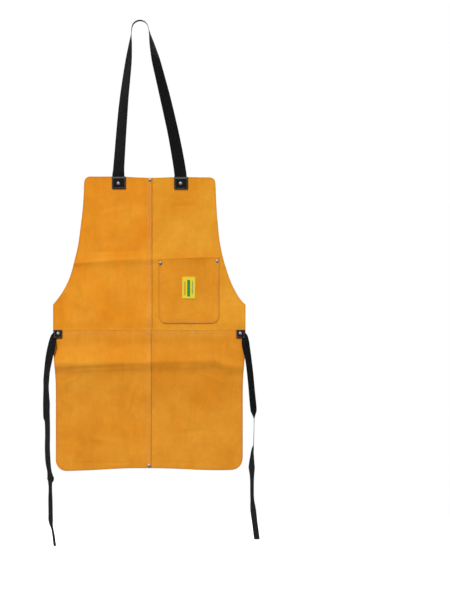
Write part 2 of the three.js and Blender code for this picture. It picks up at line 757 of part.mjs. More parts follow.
const neckStrap = toSolid(ribbonGeometry(neckStations(), neckWidth, webbing));
add('neck_strap', toGeometry(drilled(neckStrap, 'neck_left', 'neck_right')), 'webbing');
for (const [name, hand, route] of [['left', -1, leftTieRows], ['right', 1, rightTieRows]]) {
  const tie = toSolid(ribbonGeometry(tieStations(hand, route), tieWidth, webbing));
  add(`tie_${name}`, toGeometry(drilled(tie, `side_${name}`)), 'webbing');
  const strap = name === 'left' ? leftStrapAcross : rightStrapAcross;
  const neckRivet = rivets[`neck_${name}`];
  add(`neck_patch_${name}`, patchGeometry(
    neckPatchWidth,
    neckPatchHeight,
    strap + neckPatchShift,
    topEdge(strap) + neckPatchHeight / 2,
    -patchDepth,
    neckRivet,
  ), 'patch');
  add(`side_patch_${name}`, patchGeometry(
    sidePatchWidth,
    sidePatchHeight,
    hand * sidePatchAcross,
    sidePatchDrop,
    seamFront - patchDepth,
    rivets[`side_${name}`],
  ), 'patch');
}

const bibMiddle = (hand) => (a, d) => panelMiddle(hand, 1, a, d);
const skirtMiddle = (hand) => (a, d) => panelMiddle(hand, -1, a, d);
const stacks = {
  neck_left: { front: strapFront, behind: bibMiddle(-1) },
  neck_right: { front: strapFront, behind: bibMiddle(1) },
  side_left: { front: sideFront, behind: bibMiddle(-1) },
  side_right: { front: sideFront, behind: bibMiddle(1) },
  bib_top: { before: bibMiddle(-1), behind: bibMiddle(1) },
  hem: { before: skirtMiddle(-1), behind: skirtMiddle(1) },
  pocket_left: { before: pocketMiddle, behind: bibMiddle(1) },
  pocket_right: { before: pocketMiddle, behind: bibMiddle(1) },
};
for (const [name, { across, drop }] of Object.entries(rivets)) {
  const { front, before, behind } = stacks[name];
  const face = front ?? reachY(before, across, drop, rivetHead / 2, Math.min) - leather / 2;
  const rear = reachY(behind, across, drop, rivetBurr / 2, Math.max) + leather / 2;
  const rivet = rivetGeometry(face - clearance, rear + clearance);
  rivet.translate(worldX(across), 0, worldZ(drop));
  add(`rivet_${name}`, rivet, 'rivet');
}

export default group;
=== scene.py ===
import math

import bmesh
import bpy
import numpy as np
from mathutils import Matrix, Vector
from mathutils.geometry import delaunay_2d_cdt


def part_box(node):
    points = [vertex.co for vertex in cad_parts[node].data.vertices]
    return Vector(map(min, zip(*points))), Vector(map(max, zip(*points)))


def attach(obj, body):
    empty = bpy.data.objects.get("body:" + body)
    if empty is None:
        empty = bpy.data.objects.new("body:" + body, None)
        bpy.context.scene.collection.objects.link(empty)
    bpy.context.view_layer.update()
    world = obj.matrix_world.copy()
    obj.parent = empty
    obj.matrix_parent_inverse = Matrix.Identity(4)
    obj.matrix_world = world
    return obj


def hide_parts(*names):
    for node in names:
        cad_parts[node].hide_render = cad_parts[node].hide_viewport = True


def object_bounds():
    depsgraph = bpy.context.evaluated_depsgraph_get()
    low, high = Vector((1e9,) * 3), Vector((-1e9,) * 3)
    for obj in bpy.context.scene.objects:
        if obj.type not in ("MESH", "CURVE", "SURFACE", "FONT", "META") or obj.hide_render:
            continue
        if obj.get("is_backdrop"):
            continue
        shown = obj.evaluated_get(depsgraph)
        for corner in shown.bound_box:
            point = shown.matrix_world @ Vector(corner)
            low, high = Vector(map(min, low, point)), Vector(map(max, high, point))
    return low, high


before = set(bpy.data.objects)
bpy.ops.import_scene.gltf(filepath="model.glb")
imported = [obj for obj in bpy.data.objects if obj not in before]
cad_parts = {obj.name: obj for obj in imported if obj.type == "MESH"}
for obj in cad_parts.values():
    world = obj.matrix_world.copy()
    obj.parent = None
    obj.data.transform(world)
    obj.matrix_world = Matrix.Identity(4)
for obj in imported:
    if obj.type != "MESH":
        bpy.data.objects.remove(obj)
cad_low, cad_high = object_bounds()

# A leather bib apron hanging by its neck strap. The named sizes are millimetres, and MM turns them
# into the frame's metres. A place on the apron is "across", from its centre line towards +X, and
# "drop", downwards from the line of its top corners.
MM = 0.001
BODY = "root"

# Hide and webbing
LEATHER = 1.4
WEBBING = 1.5
CLEARANCE = 0.3

# Outline of the apron
APRON_LENGTH = 918
BIB_LENGTH = 476
BIB_TOP_WIDTH = 410
WAIST_WIDTH = 598.5
HEM_WIDTH = 581.5
ARMHOLE_DROP = 397.5
TAPER_START = 490
TAPER_END = 680
TOP_CORNER = 22
TOP_TILT = 1.5
TOP_SAG = 3.4

# How the neck strap lifts the top edge about each of its ends
TOP_LIFT = 2.7
TOP_LIFT_ACROSS = 95
TOP_LIFT_REACH = 55

# Armholes. Columns: down, a share of their depth; half the apron's width, on the left and right.
ARMHOLES = np.array([
    (0.059, 203.0, 205.8),
    (0.110, 203.7, 206.8),
    (0.186, 205.2, 208.1),
    (0.280, 208.4, 210.1),
    (0.374, 212.9, 213.3),
    (0.468, 217.5, 216.9),
    (0.562, 223.7, 222.8),
    (0.656, 232.7, 231.7),
    (0.718, 238.8, 239.0),
    (0.781, 246.4, 247.2),
    (0.843, 257.1, 257.1),
    (0.906, 271.0, 269.8),
    (0.945, 281.5, 279.4),
    (0.969, 288.8, 286.6),
    (1.000, 299.25, 299.25),
])

# Hem between its corners. Columns: across, drop.
HEM = np.array([
    (-254.8, 915.5),
    (-214.0, 914.0),
    (-183.0, 912.9),
    (-152.0, 911.2),
    (-105.0, 908.5),
    (-58.0, 906.8),
    (0.0, 906.6),
    (66.0, 907.7),
    (113.0, 909.7),
    (159.0, 911.9),
    (206.0, 912.9),
    (237.0, 912.6),
    (254.8, 912.0),
])

# Hem corners: how far inwards and upwards the curve's handle lies, and how high the curve ends
HEM_CORNER_LEFT = (7, 3, 32)
HEM_CORNER_RIGHT = (0, 9, 50)

# Lapped seams
LAP = 20
LAP_CLEARANCE = 0.4
LAP_FADE = 25
BIB_SEAM = 8.9
SKIRT_SEAM = 6.4
SEAM_LOW = SKIRT_SEAM - LAP
PITCH = LEATHER + LAP_CLEARANCE

# Pocket and label
POCKET_WIDTH = 189
POCKET_DEPTH = 204
POCKET_CENTRE = 123
POCKET_RISE = 19.5
POCKET_DROP = BIB_LENGTH - POCKET_RISE - POCKET_DEPTH
POCKET_TILT = 5.6
POCKET_CORNER = 28
POCKET_HOLD = 13
POCKET_MOUTH = 10
POCKET_SLACK = 1.6
POCKET_LIP = 1.8
POCKET_LIP_REACH = 20
POCKET_LEFT = POCKET_CENTRE - POCKET_WIDTH / 2
POCKET_RIGHT = POCKET_CENTRE + POCKET_WIDTH / 2
LABEL_WIDTH = 41
LABEL_HEIGHT = 68
LABEL_DROP = 59
LABEL_THICKNESS = 1

# Neck strap, ties and patches
NECK_RISE = 485
LOOP_SHIFT = 28.6
LOOP_RADIUS = 25
NECK_WIDTH = 38
NECK_HOLD = 34
STRAP_ACROSS = {"left": -96.2, "right": 97.3}
LEAN = {"left": 6, "right": 13.7}
TIE_WIDTH = 25.4
PATCH_THICKNESS = 1.2
PATCH_CORNER = 1.5
NECK_PATCH = (43, 38.5)
NECK_PATCH_SHIFT = 1.6
SIDE_PATCH = (27, 26)
SIDE_PATCH_ACROSS = WAIST_WIDTH / 2 - 1.5 - SIDE_PATCH[0] / 2
SIDE_PATCH_DROP = BIB_LENGTH + SIDE_PATCH[1] / 2
STRAP_DEPTH = LEATHER / 2 + CLEARANCE + WEBBING / 2
PATCH_DEPTH = STRAP_DEPTH + WEBBING / 2 + CLEARANCE + PATCH_THICKNESS / 2

# Folds that the storage left in the hide. Columns: down, a share of the apron's length; slope;
# and how far the hide stands forward on the left, in the middle and on the right, in fold depths.
FOLD_DEPTH = 6.5
FOLD_FADE = 100
FOLDS = np.array([
    (0.000, 0.000, 0.00, 0.00, 0.00),
    (0.150, 0.000, 0.00, 0.00, 0.00),
    (0.236, 0.051, 0.00, 0.00, 0.00),
    (0.259, 0.051, 0.14, 0.11, 0.00),
    (0.273, 0.051, 0.34, 0.29, 0.03),
    (0.281, 0.051, 0.48, 0.42, 0.05),
    (0.288, 0.051, 0.30, 0.26, 0.03),
    (0.297, 0.051, 0.08, 0.07, 0.00),
    (0.316, 0.051, 0.00, 0.00, 0.00),
    (0.440, 0.000, 0.00, 0.00, 0.00),
    (0.550, 0.000, 0.00, 0.00, 0.00),
    (0.568, 0.015, 0.06, 0.06, 0.05),
    (0.587, 0.020, 0.28, 0.28, 0.22),
    (0.608, 0.020, 0.62, 0.62, 0.48),
    (0.622, 0.020, 0.91, 0.91, 0.73),
    (0.628, 0.020, 1.00, 1.00, 0.80),
    (0.636, 0.020, 0.91, 0.91, 0.71),
    (0.647, 0.020, 0.53, 0.53, 0.41),
    (0.659, 0.020, 0.16, 0.16, 0.12),
    (0.673, 0.020, 0.00, 0.00, 0.00),
    (0.760, 0.010, -0.34, -0.24, -0.18),
    (0.890, 0.000, -0.15, -0.15, -0.10),
    (1.000, 0.000, 0.00, 0.00, 0.00),
])
SLOPE, LEFT, MIDDLE, RIGHT = 1, 2, 3, 4

# The skirt's fold bends down at its right end: by how much, from where and over what reach
BEND_DROP = 17
BEND_START = 200
BEND_REACH = 55
BEND_ROWS = (570, 620)
BEND_FADE = 50

# Fine creases. Columns: across and drop of one end, across and drop of the other, depth, width.
CREASES = [
    (-200, 236, -6, 230, -0.7, 5),
    (-45, 645, -67, 732, 1.3, 5),
    (-268, 650, -226, 622, 1.1, 5),
    (-282, 690, -232, 660, -0.9, 5),
    (60, 96, 168, 84, -0.5, 7),
    (-170, 120, -60, 96, 0.5, 8),
    (150, 610, 236, 640, 0.6, 6),
    (70, 800, 190, 786, -0.6, 8),
    (-190, 812, -80, 830, 0.6, 8),
    (-250, 893, -14, 889, -0.5, 3),
    (22, 888, 236, 892, -0.4, 3),
    (-300, 599, 8, 585, -1.0, 4),
    (4, 584, 190, 583, -0.8, 4),
    (205, 599, 300, 600, -0.5, 5),
    (-238, 276, 30, 257, -0.9, 4),
]

# Neck strap's legs. Columns: climb, left reach, left turn, right reach, right turn.
NECK_LEGS = np.array([
    (0.000, 0.000, 0, 0.000, 0),
    (0.043, 0.022, 21, 0.022, 11),
    (0.158, 0.111, 28, 0.114, 18),
    (0.274, 0.207, 32, 0.220, 25),
    (0.389, 0.311, 36, 0.342, 28),
    (0.505, 0.429, 42, 0.471, 32),
    (0.620, 0.584, 48, 0.607, 39),
    (0.736, 0.747, 56, 0.747, 46),
    (0.845, 0.877, 72, 0.873, 66),
])

# Routes of the ties from the middle of each side patch. Columns: drop; out, away from the apron's
# centre line; depth, in front of the panels' middle plane; turn, in degrees; share of the width.
LEFT_TIE = np.array([
    (-4.0, -3.0, 2.7, 0, 0.84),
    (2.4, 4.7, 2.7, 0, 0.84),
    (7.5, 10.6, 2.8, 0, 0.84),
    (14.5, 14.6, 2.9, 0, 0.8),
    (22.0, 16.4, 5.6, 15, 0.88),
    (31.7, 18.0, 7.0, 21, 1),
    (50.4, 22.0, 6.5, 18, 1),
    (69.0, 26.0, 6.0, 24, 1),
    (87.7, 29.3, 5.5, 30, 1),
    (106.4, 32.3, 5.0, 38, 1),
    (125.0, 34.5, 4.5, 41, 1),
    (143.7, 35.9, 4.0, 41, 1),
    (162.3, 36.5, 3.5, 45, 1),
    (199.7, 35.9, 3.0, 36, 1),
    (218.3, 35.4, 3.0, 30, 1),
    (240.0, 35.5, 3.0, 32, 1),
    (258.0, 35.0, 3.0, 33, 1),
    (272.0, 32.6, 3.5, 46, 1),
    (311.6, 31.9, 3.5, 49, 1),
    (348.9, 32.5, 3.0, 48, 1),
    (386.3, 31.3, 3.0, 47, 1),
    (404.9, 29.7, 3.0, 49, 1),
    (423.6, 26.8, 3.0, 54, 1),
    (441.0, 24.0, 4.0, 43, 1),
    (450.0, 22.6, 5.0, 29, 1),
    (461.0, 23.8, 4.0, 56, 1),
    (479.6, 23.3, 3.0, 62, 1),
    (516.9, 23.1, 2.5, 56, 1),
    (554.2, 22.5, 2.5, 55, 1),
    (577.0, 22.4, 2.5, 52, 1),
    (590.0, 21.2, 2.5, 60, 1),
    (606.0, 17.0, 2.5, 70, 1),
    (628.8, 13.1, 2.5, 68, 1),
    (659.6, 9.3, 2.5, 67, 1),
])
RIGHT_TIE = np.array([
    (-4.0, -3.0, 2.7, 0, 0.84),
    (2.4, 4.7, 2.7, 0, 0.84),
    (7.5, 10.4, 2.8, 0, 0.84),
    (14.5, 13.6, 2.9, 0, 0.82),
    (22.0, 14.4, 5.6, 14, 0.94),
    (31.0, 15.3, 7.0, 17, 1),
    (49.4, 18.2, 6.5, 22, 1),
    (68.1, 22.0, 6.0, 34, 1),
    (86.8, 25.0, 5.5, 40, 1),
    (124.1, 29.5, 4.5, 40, 1),
    (161.4, 33.1, 3.5, 41, 1),
    (198.7, 36.5, 3.0, 39, 1),
    (217.4, 38.3, 3.0, 37, 1),
    (236.0, 40.0, 3.0, 40, 1),
    (254.0, 41.3, 3.0, 72, 1),
    (267.1, 41.8, 3.0, 88, 1),
    (306.0, 41.0, 2.5, 90, 1),
    (345.0, 39.8, 2.5, 92, 1),
    (356.0, 37.8, 2.5, 103, 1),
    (366.7, 36.2, 2.5, 108, 1),
    (385.3, 35.1, 3.0, 119, 1),
    (403.0, 34.3, 3.0, 131, 1),
    (414.8, 34.1, 3.0, 138, 1),
    (425.0, 34.5, 3.0, 132, 1),
    (441.3, 35.0, 3.0, 121, 1),
    (460.0, 35.1, 2.5, 116, 1),
    (497.3, 35.2, 2.5, 115, 1),
    (515.9, 36.1, 2.5, 117, 1),
    (534.6, 37.6, 2.5, 127, 1),
    (553.3, 39.6, 2.5, 134, 1),
    (590.6, 44.3, 2.5, 132, 1),
    (609.2, 46.8, 2.5, 133, 1),
    (638.6, 50.5, 2.5, 131, 1),
])

# The photograph's frame at the apron
PHOTO_SIZE = (450, 600)
PIXEL = 3.11
ORIGIN_PIXEL = (140.1, 20.75)
CAMERA_DISTANCE = 8.0
SENSOR = 36.0


# Curves and tables

def smooth(x, xs, ys):
    """Values at x of the smooth curve through the points xs, ys, with no overshoot."""
    xs = np.asarray(xs, float)
    ys = np.asarray(ys, float)
    x = np.asarray(x, float)
    step = np.diff(xs)
    rise = np.diff(ys) / step
    slope = np.zeros(len(xs))
    product = rise[:-1] * rise[1:]
    total = rise[:-1] + rise[1:]
    same = product > 0
    slope[1:-1][same] = 2 * product[same] / total[same]
    slope[0] = rise[0]
    slope[-1] = rise[-1]
    i = np.clip(np.searchsorted(xs, x) - 1, 0, len(step) - 1)
    t = np.clip((x - xs[i]) / step[i], 0, 1)
    low = (1 + 2 * t) * (1 - t) ** 2 * ys[i] + t * (1 - t) ** 2 * step[i] * slope[i]
    high = t * t * (3 - 2 * t) * ys[i + 1] + t * t * (t - 1) * step[i] * slope[i + 1]
    return low + high


def ease(x):
    """Smoothly from 0 to 1 as x goes from 0 to 1."""
    x = np.clip(x, 0, 1)
    return x * x * (3 - 2 * x)


def mix(a, b, share):
    return a + (b - a) * share


def quadratic(p, q, r, steps):
    """Points of a quadratic curve."""
    t = np.linspace(0, 1, steps + 1)[:, None]
    p, q, r = np.array(p, float), np.array(q, float), np.array(r, float)
    return (1 - t) ** 2 * p + 2 * t * (1 - t) * q + t * t * r


def cubic(p, q, r, s, steps):
    """Points of a cubic curve."""
    t = np.linspace(0, 1, steps + 1)[:, None]
    p, q, r, s = (np.array(v, float) for v in (p, q, r, s))
    return (1 - t) ** 3 * p + 3 * t * (1 - t) ** 2 * q + 3 * t * t * (1 - t) * r + t ** 3 * s


def joined(parts):
    """One loop out of lines that meet, with no point twice."""
    points = np.vstack(parts)
    gaps = np.linalg.norm(points - np.roll(points, 1, 0), axis=1)
    return points[gaps > 1e-6]


def divided(points, spacing, closed=True):
    """The same line with its long stretches divided evenly."""
    points = np.asarray(points, float)
    ends = np.roll(points, -1, 0) if closed else points[1:]
    starts = points if closed else points[:-1]
    made = []
    for start, end in zip(starts, ends):
        count = max(1, math.ceil(np.linalg.norm(end - start) / spacing))
        made.extend(start + (end - start) * k / count for k in range(count))
    if not closed:
        made.append(points[-1])
    return np.array(made)


def to_world(across, y, drop):
    """A place on the apron, in the frame's metres."""
    x = (LOOP_SHIFT + across) * MM
    z = (-NECK_RISE - drop) * MM
    return np.stack(np.broadcast_arrays(x, y * MM, z), axis=-1)


# The hide's surface

def fold(row, column):
    return smooth(row / APRON_LENGTH, FOLDS[:, 0], FOLDS[:, column])


def row_at(across, drop):
    """The fold table's row that passes through a place."""
    row = drop
    for _ in range(6):
        row = drop + across * fold(row, SLOPE)
    bend = ease((across - BEND_START) / BEND_REACH) * plateau(row, *BEND_ROWS, BEND_FADE)
    return row - BEND_DROP * bend


def plateau(value, low, high, fade):
    outside = np.maximum(np.maximum(low - value, value - high), 0)
    return ease(1 - outside / fade)


def waves(across, drop, count, shortest, longest, height, seed):
    """Gentle waves in all directions, of about the given height."""
    rng = np.random.default_rng(seed)
    total = np.zeros(np.broadcast(across, drop).shape)
    for _ in range(count):
        length = rng.uniform(shortest, longest)
        angle, phase = rng.uniform(0, 2 * np.pi, 2)
        along = across * np.cos(angle) + drop * np.sin(angle)
        total += np.sin(2 * np.pi * along / length + phase) * length / longest
    return height * total / math.sqrt(count)


def crease_height(across, drop):
    """How far the fine creases stand forward."""
    total = 0
    for a0, d0, a1, d1, depth, width in CREASES:
        length = math.hypot(a1 - a0, d1 - d0)
        u, v = (a1 - a0) / length, (d1 - d0) / length
        along = ((across - a0) * u + (drop - d0) * v) / length
        aside = (across - a0) * v - (drop - d0) * u
        taper = np.sqrt(np.sin(np.pi * np.clip(along, 0, 1)))
        total = total + depth * taper * np.exp(-(aside / width) ** 2)
    return total


def calm(across, drop):
    """0 where a patch holds the hide flat and 1 away from the patches, less at the side edges."""
    spots = [(STRAP_ACROSS[hand], 15) for hand in ("left", "right")]
    spots += [(side * SIDE_PATCH_ACROSS, SIDE_PATCH_DROP) for side in (-1, 1)]
    share = 1
    for a, d in spots:
        share = share * ease((np.hypot(across - a, drop - d) - 32) / 50)
    side = 1 - 0.7 * ease((np.abs(across) - 235) / 50) * (drop > ARMHOLE_DROP)
    return share * side


def lumps(across, drop):
    """The hide's slow waviness and its fine creases, the same through all layers."""
    slow = waves(across, drop, 9, 90, 230, 0.9, 3)
    quick = waves(across, drop, 14, 28, 70, 0.28, 5)
    return calm(across, drop) * (slow + quick + crease_height(across, drop))


def relief(across, drop):
    row = row_at(across, drop)
    edge = np.where(across < 0, fold(row, LEFT), fold(row, RIGHT))
    middle = fold(row, MIDDLE)
    folds = FOLD_DEPTH * mix(middle, edge, ease(np.abs(across) / FOLD_FADE))
    return folds + lumps(across, drop)


def panel_middle(side, level):
    """Y of a panel's middle surface. side: -1 left, +1 right. level: -1 skirt, +1 bib."""
    def middle(across, drop):
        row = row_at(across, drop)
        upright = plateau(across, SEAM_LOW - 1, BIB_SEAM + 1, LAP_FADE)
        waist = plateau(row, BIB_LENGTH - 1, BIB_LENGTH + LAP + 1, LAP_FADE)
        step = side * upright / 2 + level * waist * (1 + upright) / 2
        return step * PITCH - relief(across, drop)
    return middle


def belly(across, drop):
    """How far the pocket stands away from the bib."""
    low = POCKET_LEFT + POCKET_HOLD
    high = POCKET_RIGHT - POCKET_HOLD
    u = np.clip((across - low) / (high - low), 0, 1)
    v = np.clip((row_at(across, drop) - POCKET_DROP) / (POCKET_DEPTH - POCKET_HOLD), 0, 1)
    arch = np.sin(np.pi * u)
    lip = POCKET_LIP * np.exp(-v * POCKET_DEPTH / POCKET_LIP_REACH)
    return arch ** 1.3 * (POCKET_MOUTH * (1 - v) ** POCKET_SLACK + lip)


def pocket_middle(across, drop):
    return panel_middle(1, 1)(across, drop) - LEATHER - CLEARANCE - belly(across, drop)


def label_middle(across, drop):
    return pocket_middle(across, drop) - LEATHER / 2 - CLEARANCE - LABEL_THICKNESS / 2


def front_of(across, drop):
    """Y of the foremost hide of the four panels."""
    level = np.where(drop < BIB_LENGTH, 1, -1)
    seam = np.where(level > 0, BIB_SEAM, SKIRT_SEAM)
    side = np.where(across <= seam, -1, 1)
    return panel_middle(side, level)(across, drop) - LEATHER / 2


def back_of(across, drop):
    """Y of the hindmost hide of the four panels."""
    level = np.where(drop <= BIB_LENGTH + LAP, 1, -1)
    seam = np.where(level > 0, BIB_SEAM, SKIRT_SEAM)
    side = np.where(across >= seam - LAP, 1, -1)
    return panel_middle(side, level)(across, drop) + LEATHER / 2


# Outlines, counterclockwise as seen from the front, as points (across, drop)

def top_edge(across):
    share = across / (BIB_TOP_WIDTH / 2)
    lift = TOP_LIFT * np.exp(-((np.abs(across) - TOP_LIFT_ACROSS) / TOP_LIFT_REACH) ** 2)
    return share * TOP_TILT + (1 - share * share) * TOP_SAG - lift


def armhole(side):
    """An armhole's edge from the bib's corner down to the waist. side: -1 left, +1 right."""
    drop = np.linspace(ARMHOLES[0, 0], 1, 80) * ARMHOLE_DROP
    width = smooth(drop / ARMHOLE_DROP, ARMHOLES[:, 0], ARMHOLES[:, 1 if side < 0 else 2])
    return np.stack([side * width, drop], axis=1)


def apron_outline():
    hem, waist = HEM_WIDTH / 2, WAIST_WIDTH / 2
    taper = (TAPER_END - TAPER_START) / 2

    def hem_corner(side, corner):
        inwards, upwards, height = corner
        handle = (side * (hem - inwards), APRON_LENGTH - upwards)
        return handle, (side * hem, APRON_LENGTH - height)

    left_handle, left_end = hem_corner(-1, HEM_CORNER_LEFT)
    right_handle, right_end = hem_corner(1, HEM_CORNER_RIGHT)
    across = np.linspace(HEM[0, 0], HEM[-1, 0], 60)
    bottom = np.stack([across, smooth(across, HEM[:, 0], HEM[:, 1])], axis=1)
    right_armhole = armhole(1)[::-1]
    left_armhole = armhole(-1)
    across = np.linspace(right_armhole[-1, 0] - TOP_CORNER, left_armhole[0, 0] + TOP_CORNER, 40)
    top = np.stack([across, top_edge(across)], axis=1)
    parts = [
        quadratic(left_end, left_handle, bottom[0], 14),
        bottom,
        quadratic(bottom[-1], right_handle, right_end, 16),
        cubic((hem, TAPER_END), (hem, TAPER_END - taper), (waist, TAPER_START + taper),
              (waist, TAPER_START), 40),
        right_armhole,
        quadratic(right_armhole[-1], (right_armhole[-1, 0], TOP_TILT), top[0], 9),
        top,
        quadratic(top[-1], (left_armhole[0, 0], -TOP_TILT), left_armhole[0], 9),
        left_armhole,
        cubic((-waist, TAPER_START), (-waist, TAPER_START + taper), (-hem, TAPER_END - taper),
              (-hem, TAPER_END), 40),
    ]
    return joined(parts)


def clipped(points, axis, limit, keep_below):
    """The part of an outline on one side of a straight cut."""
    kept = []
    sign = 1 if keep_below else -1
    for p, q in zip(points, np.roll(points, -1, 0)):
        inside_p = sign * (limit - p[axis]) >= 0
        inside_q = sign * (limit - q[axis]) >= 0
        if inside_p:
            kept.append(p)
        if inside_p != inside_q:
            share = (limit - p[axis]) / (q[axis] - p[axis])
            kept.append(p + (q - p) * share)
    return np.array(kept)


def panel_outline(side, level):
    seam = BIB_SEAM if level > 0 else SKIRT_SEAM
    points = apron_outline()
    points = clipped(points, 0, seam if side < 0 else seam - LAP, side < 0)
    return clipped(points, 1, BIB_LENGTH + LAP if level > 0 else BIB_LENGTH, level > 0)


def pocket_outline():
    bottom = POCKET_DROP + POCKET_DEPTH
    left, right, round_ = POCKET_LEFT, POCKET_RIGHT, POCKET_CORNER
    return joined([
        [(left, POCKET_DROP + POCKET_TILT / 2)],
        quadratic((left, bottom - round_), (left, bottom), (left + round_, bottom), 12),
        quadratic((right - round_, bottom), (right, bottom), (right, bottom - round_), 12),
        [(right, POCKET_DROP - POCKET_TILT / 2)],
    ])


def rectangle_outline(across, drop, width, height, corner):
    """A rectangle with round corners about its middle."""
    made = []
    w, h = width / 2, height / 2
    for a, d in ((-w, h), (w, h), (w, -h), (-w, -h)):
        inward = (-math.copysign(corner, a), -math.copysign(corner, d))
        first = (a, d + inward[1]) if a * d < 0 else (a + inward[0], d)
        last = (a + inward[0], d) if a * d < 0 else (a, d + inward[1])
        made.append(quadratic(first, (a, d), last, 4))
    return joined(made) + (across, drop)


# Mesh building

def new_object(name, vertices, faces, material, smooth_faces=True):
    mesh = bpy.data.meshes.new(name)
    mesh.from_pydata([tuple(v) for v in vertices], [], [tuple(f) for f in faces])
    mesh.validate()
    mesh.polygons.foreach_set("use_smooth", [smooth_faces] * len(mesh.polygons))
    mesh.materials.append(material)
    made = bpy.data.objects.new(name, mesh)
    bpy.context.scene.collection.objects.link(made)
    return made


def finished(piece, slot, *nodes):
    """The piece rides on the apron's body and stands for CAD nodes; slot is not used."""
    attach(piece, BODY)
    if nodes:
        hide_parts(*nodes)
    return piece


def point_attribute(piece, name, values):
    attribute = piece.data.attributes.new(name, "FLOAT", "POINT")
    attribute.data.foreach_set("value", np.asarray(values, np.float32))


def inset(loop, distance):
    """A counterclockwise loop of (across, -drop) points, moved inwards."""
    before = loop - np.roll(loop, 1, 0)
    after = np.roll(loop, -1, 0) - loop
    normals = []
    for edge in (before, after):
        edge = edge / np.linalg.norm(edge, axis=1)[:, None]
        normals.append(np.stack([-edge[:, 1], edge[:, 0]], axis=1))
    middle = normals[0] + normals[1]
    middle /= np.linalg.norm(middle, axis=1)[:, None]
    reach = np.maximum(0.5, (middle * normals[0]).sum(1))
    return loop + middle * (distance / reach)[:, None]


def inside(points, loop):
    """Which points lie inside a loop."""
    found = np.zeros(len(points), bool)
    x, y = points[:, 0], points[:, 1]
    for (x0, y0), (x1, y1) in zip(loop, np.roll(loop, -1, 0)):
        if y0 == y1:
            continue
        crosses = (y0 > y) != (y1 > y)
        found ^= crosses & (x < (x1 - x0) * (y - y0) / (y1 - y0) + x0)
    return found


def nearest(points, loop):
    """Each point's distance to the nearest corner of a loop."""
    best = np.full(len(points), 1e9)
    for corner in loop:
        best = np.minimum(best, ((points - corner) ** 2).sum(1))
    return np.sqrt(best)


# How a cut edge rounds off. Columns: inset in millimetres, share of the thickness.
RIM = [(0.0, 0.4), (0.25, 0.78), (0.7, 1.0), (1.6, 1.0)]


def sheet_piece(name, outline, spacing, middle, thickness, material, rows=()):
    """A sheet of even thickness with rounded edges, over an outline of (across, drop) points.
    rows are stitched lines, where the mesh is finer and the thread draws the sheet in."""
    loop = divided(outline, spacing) * (1, -1)
    rings = [inset(loop, distance) for distance, _ in RIM]
    count = len(loop)
    low, high = loop.min(0), loop.max(0)
    grid = np.stack(np.meshgrid(
        np.arange(low[0], high[0], spacing), np.arange(low[1], high[1], spacing)), axis=-1).reshape(-1, 2)
    lines = [divided(np.array(row) * (1, -1), spacing, closed=False) for row in rows]
    fine = [line + normal * offset for line, normal in zip(lines, map(line_normals, lines))
            for offset in (-1.6, -0.7, 0, 0.7, 1.6)]
    grid = grid[inside(grid, loop)]
    grid = grid[nearest(grid, loop) > 0.85 * spacing + RIM[-1][0]]
    if fine:
        fine = np.vstack(fine)
        fine = fine[inside(fine, loop)]
        fine = fine[nearest(fine, loop) > 0.5 * spacing]
        grid = grid[nearest(grid, fine) > 0.6 * spacing]
        grid = np.vstack([grid, fine])
    flat = np.vstack([*rings, grid])
    edges = [(ring * count + i, ring * count + (i + 1) % count)
             for ring in range(len(rings)) for i in range(count)]
    points, _, faces, origin, _, _ = delaunay_2d_cdt(
        [Vector(p) for p in flat], edges, [], 1, 1e-5)
    points = np.array([tuple(p) for p in points])
    source = [ids[0] if ids else len(flat) for ids in origin]
    share = np.ones(len(points))
    on_rim = {}
    for i, first in enumerate(source):
        if first < count * len(RIM):
            share[i] = RIM[first // count][1]
        if first < count:
            on_rim[first] = i
    across, drop = points[:, 0], -points[:, 1]
    y = middle(across, drop)
    draw = 0
    if lines:
        away = nearest(points, np.vstack([divided(line, 1.2, closed=False) for line in lines]))
        draw = 0.15 * np.exp(-(away / 1.1) ** 2)
    half = thickness / 2 * share
    front = to_world(across, y - half + draw, drop)
    back = to_world(across, y + half - draw, drop)
    total = len(points)
    made = []
    for a, b, c in faces:
        p, q, r = points[a], points[b], points[c]
        turn = (q[0] - p[0]) * (r[1] - p[1]) - (q[1] - p[1]) * (r[0] - p[0])
        if turn < 0:
            b, c = c, b
        made.append((a, b, c))
        made.append((total + a, total + c, total + b))
    for i in range(count):
        a, b = on_rim[i], on_rim[(i + 1) % count]
        made.append((a, total + a, total + b, b))
    piece = new_object(name, np.vstack([front, back]), made, material)
    edge = np.exp(-nearest(points, loop) / 5)
    point_attribute(piece, "edge", np.tile(edge, 2))
    return piece


def line_normals(line):
    along = np.gradient(line, axis=0)
    along /= np.linalg.norm(along, axis=1)[:, None]
    return np.stack([-along[:, 1], along[:, 0]], axis=1)


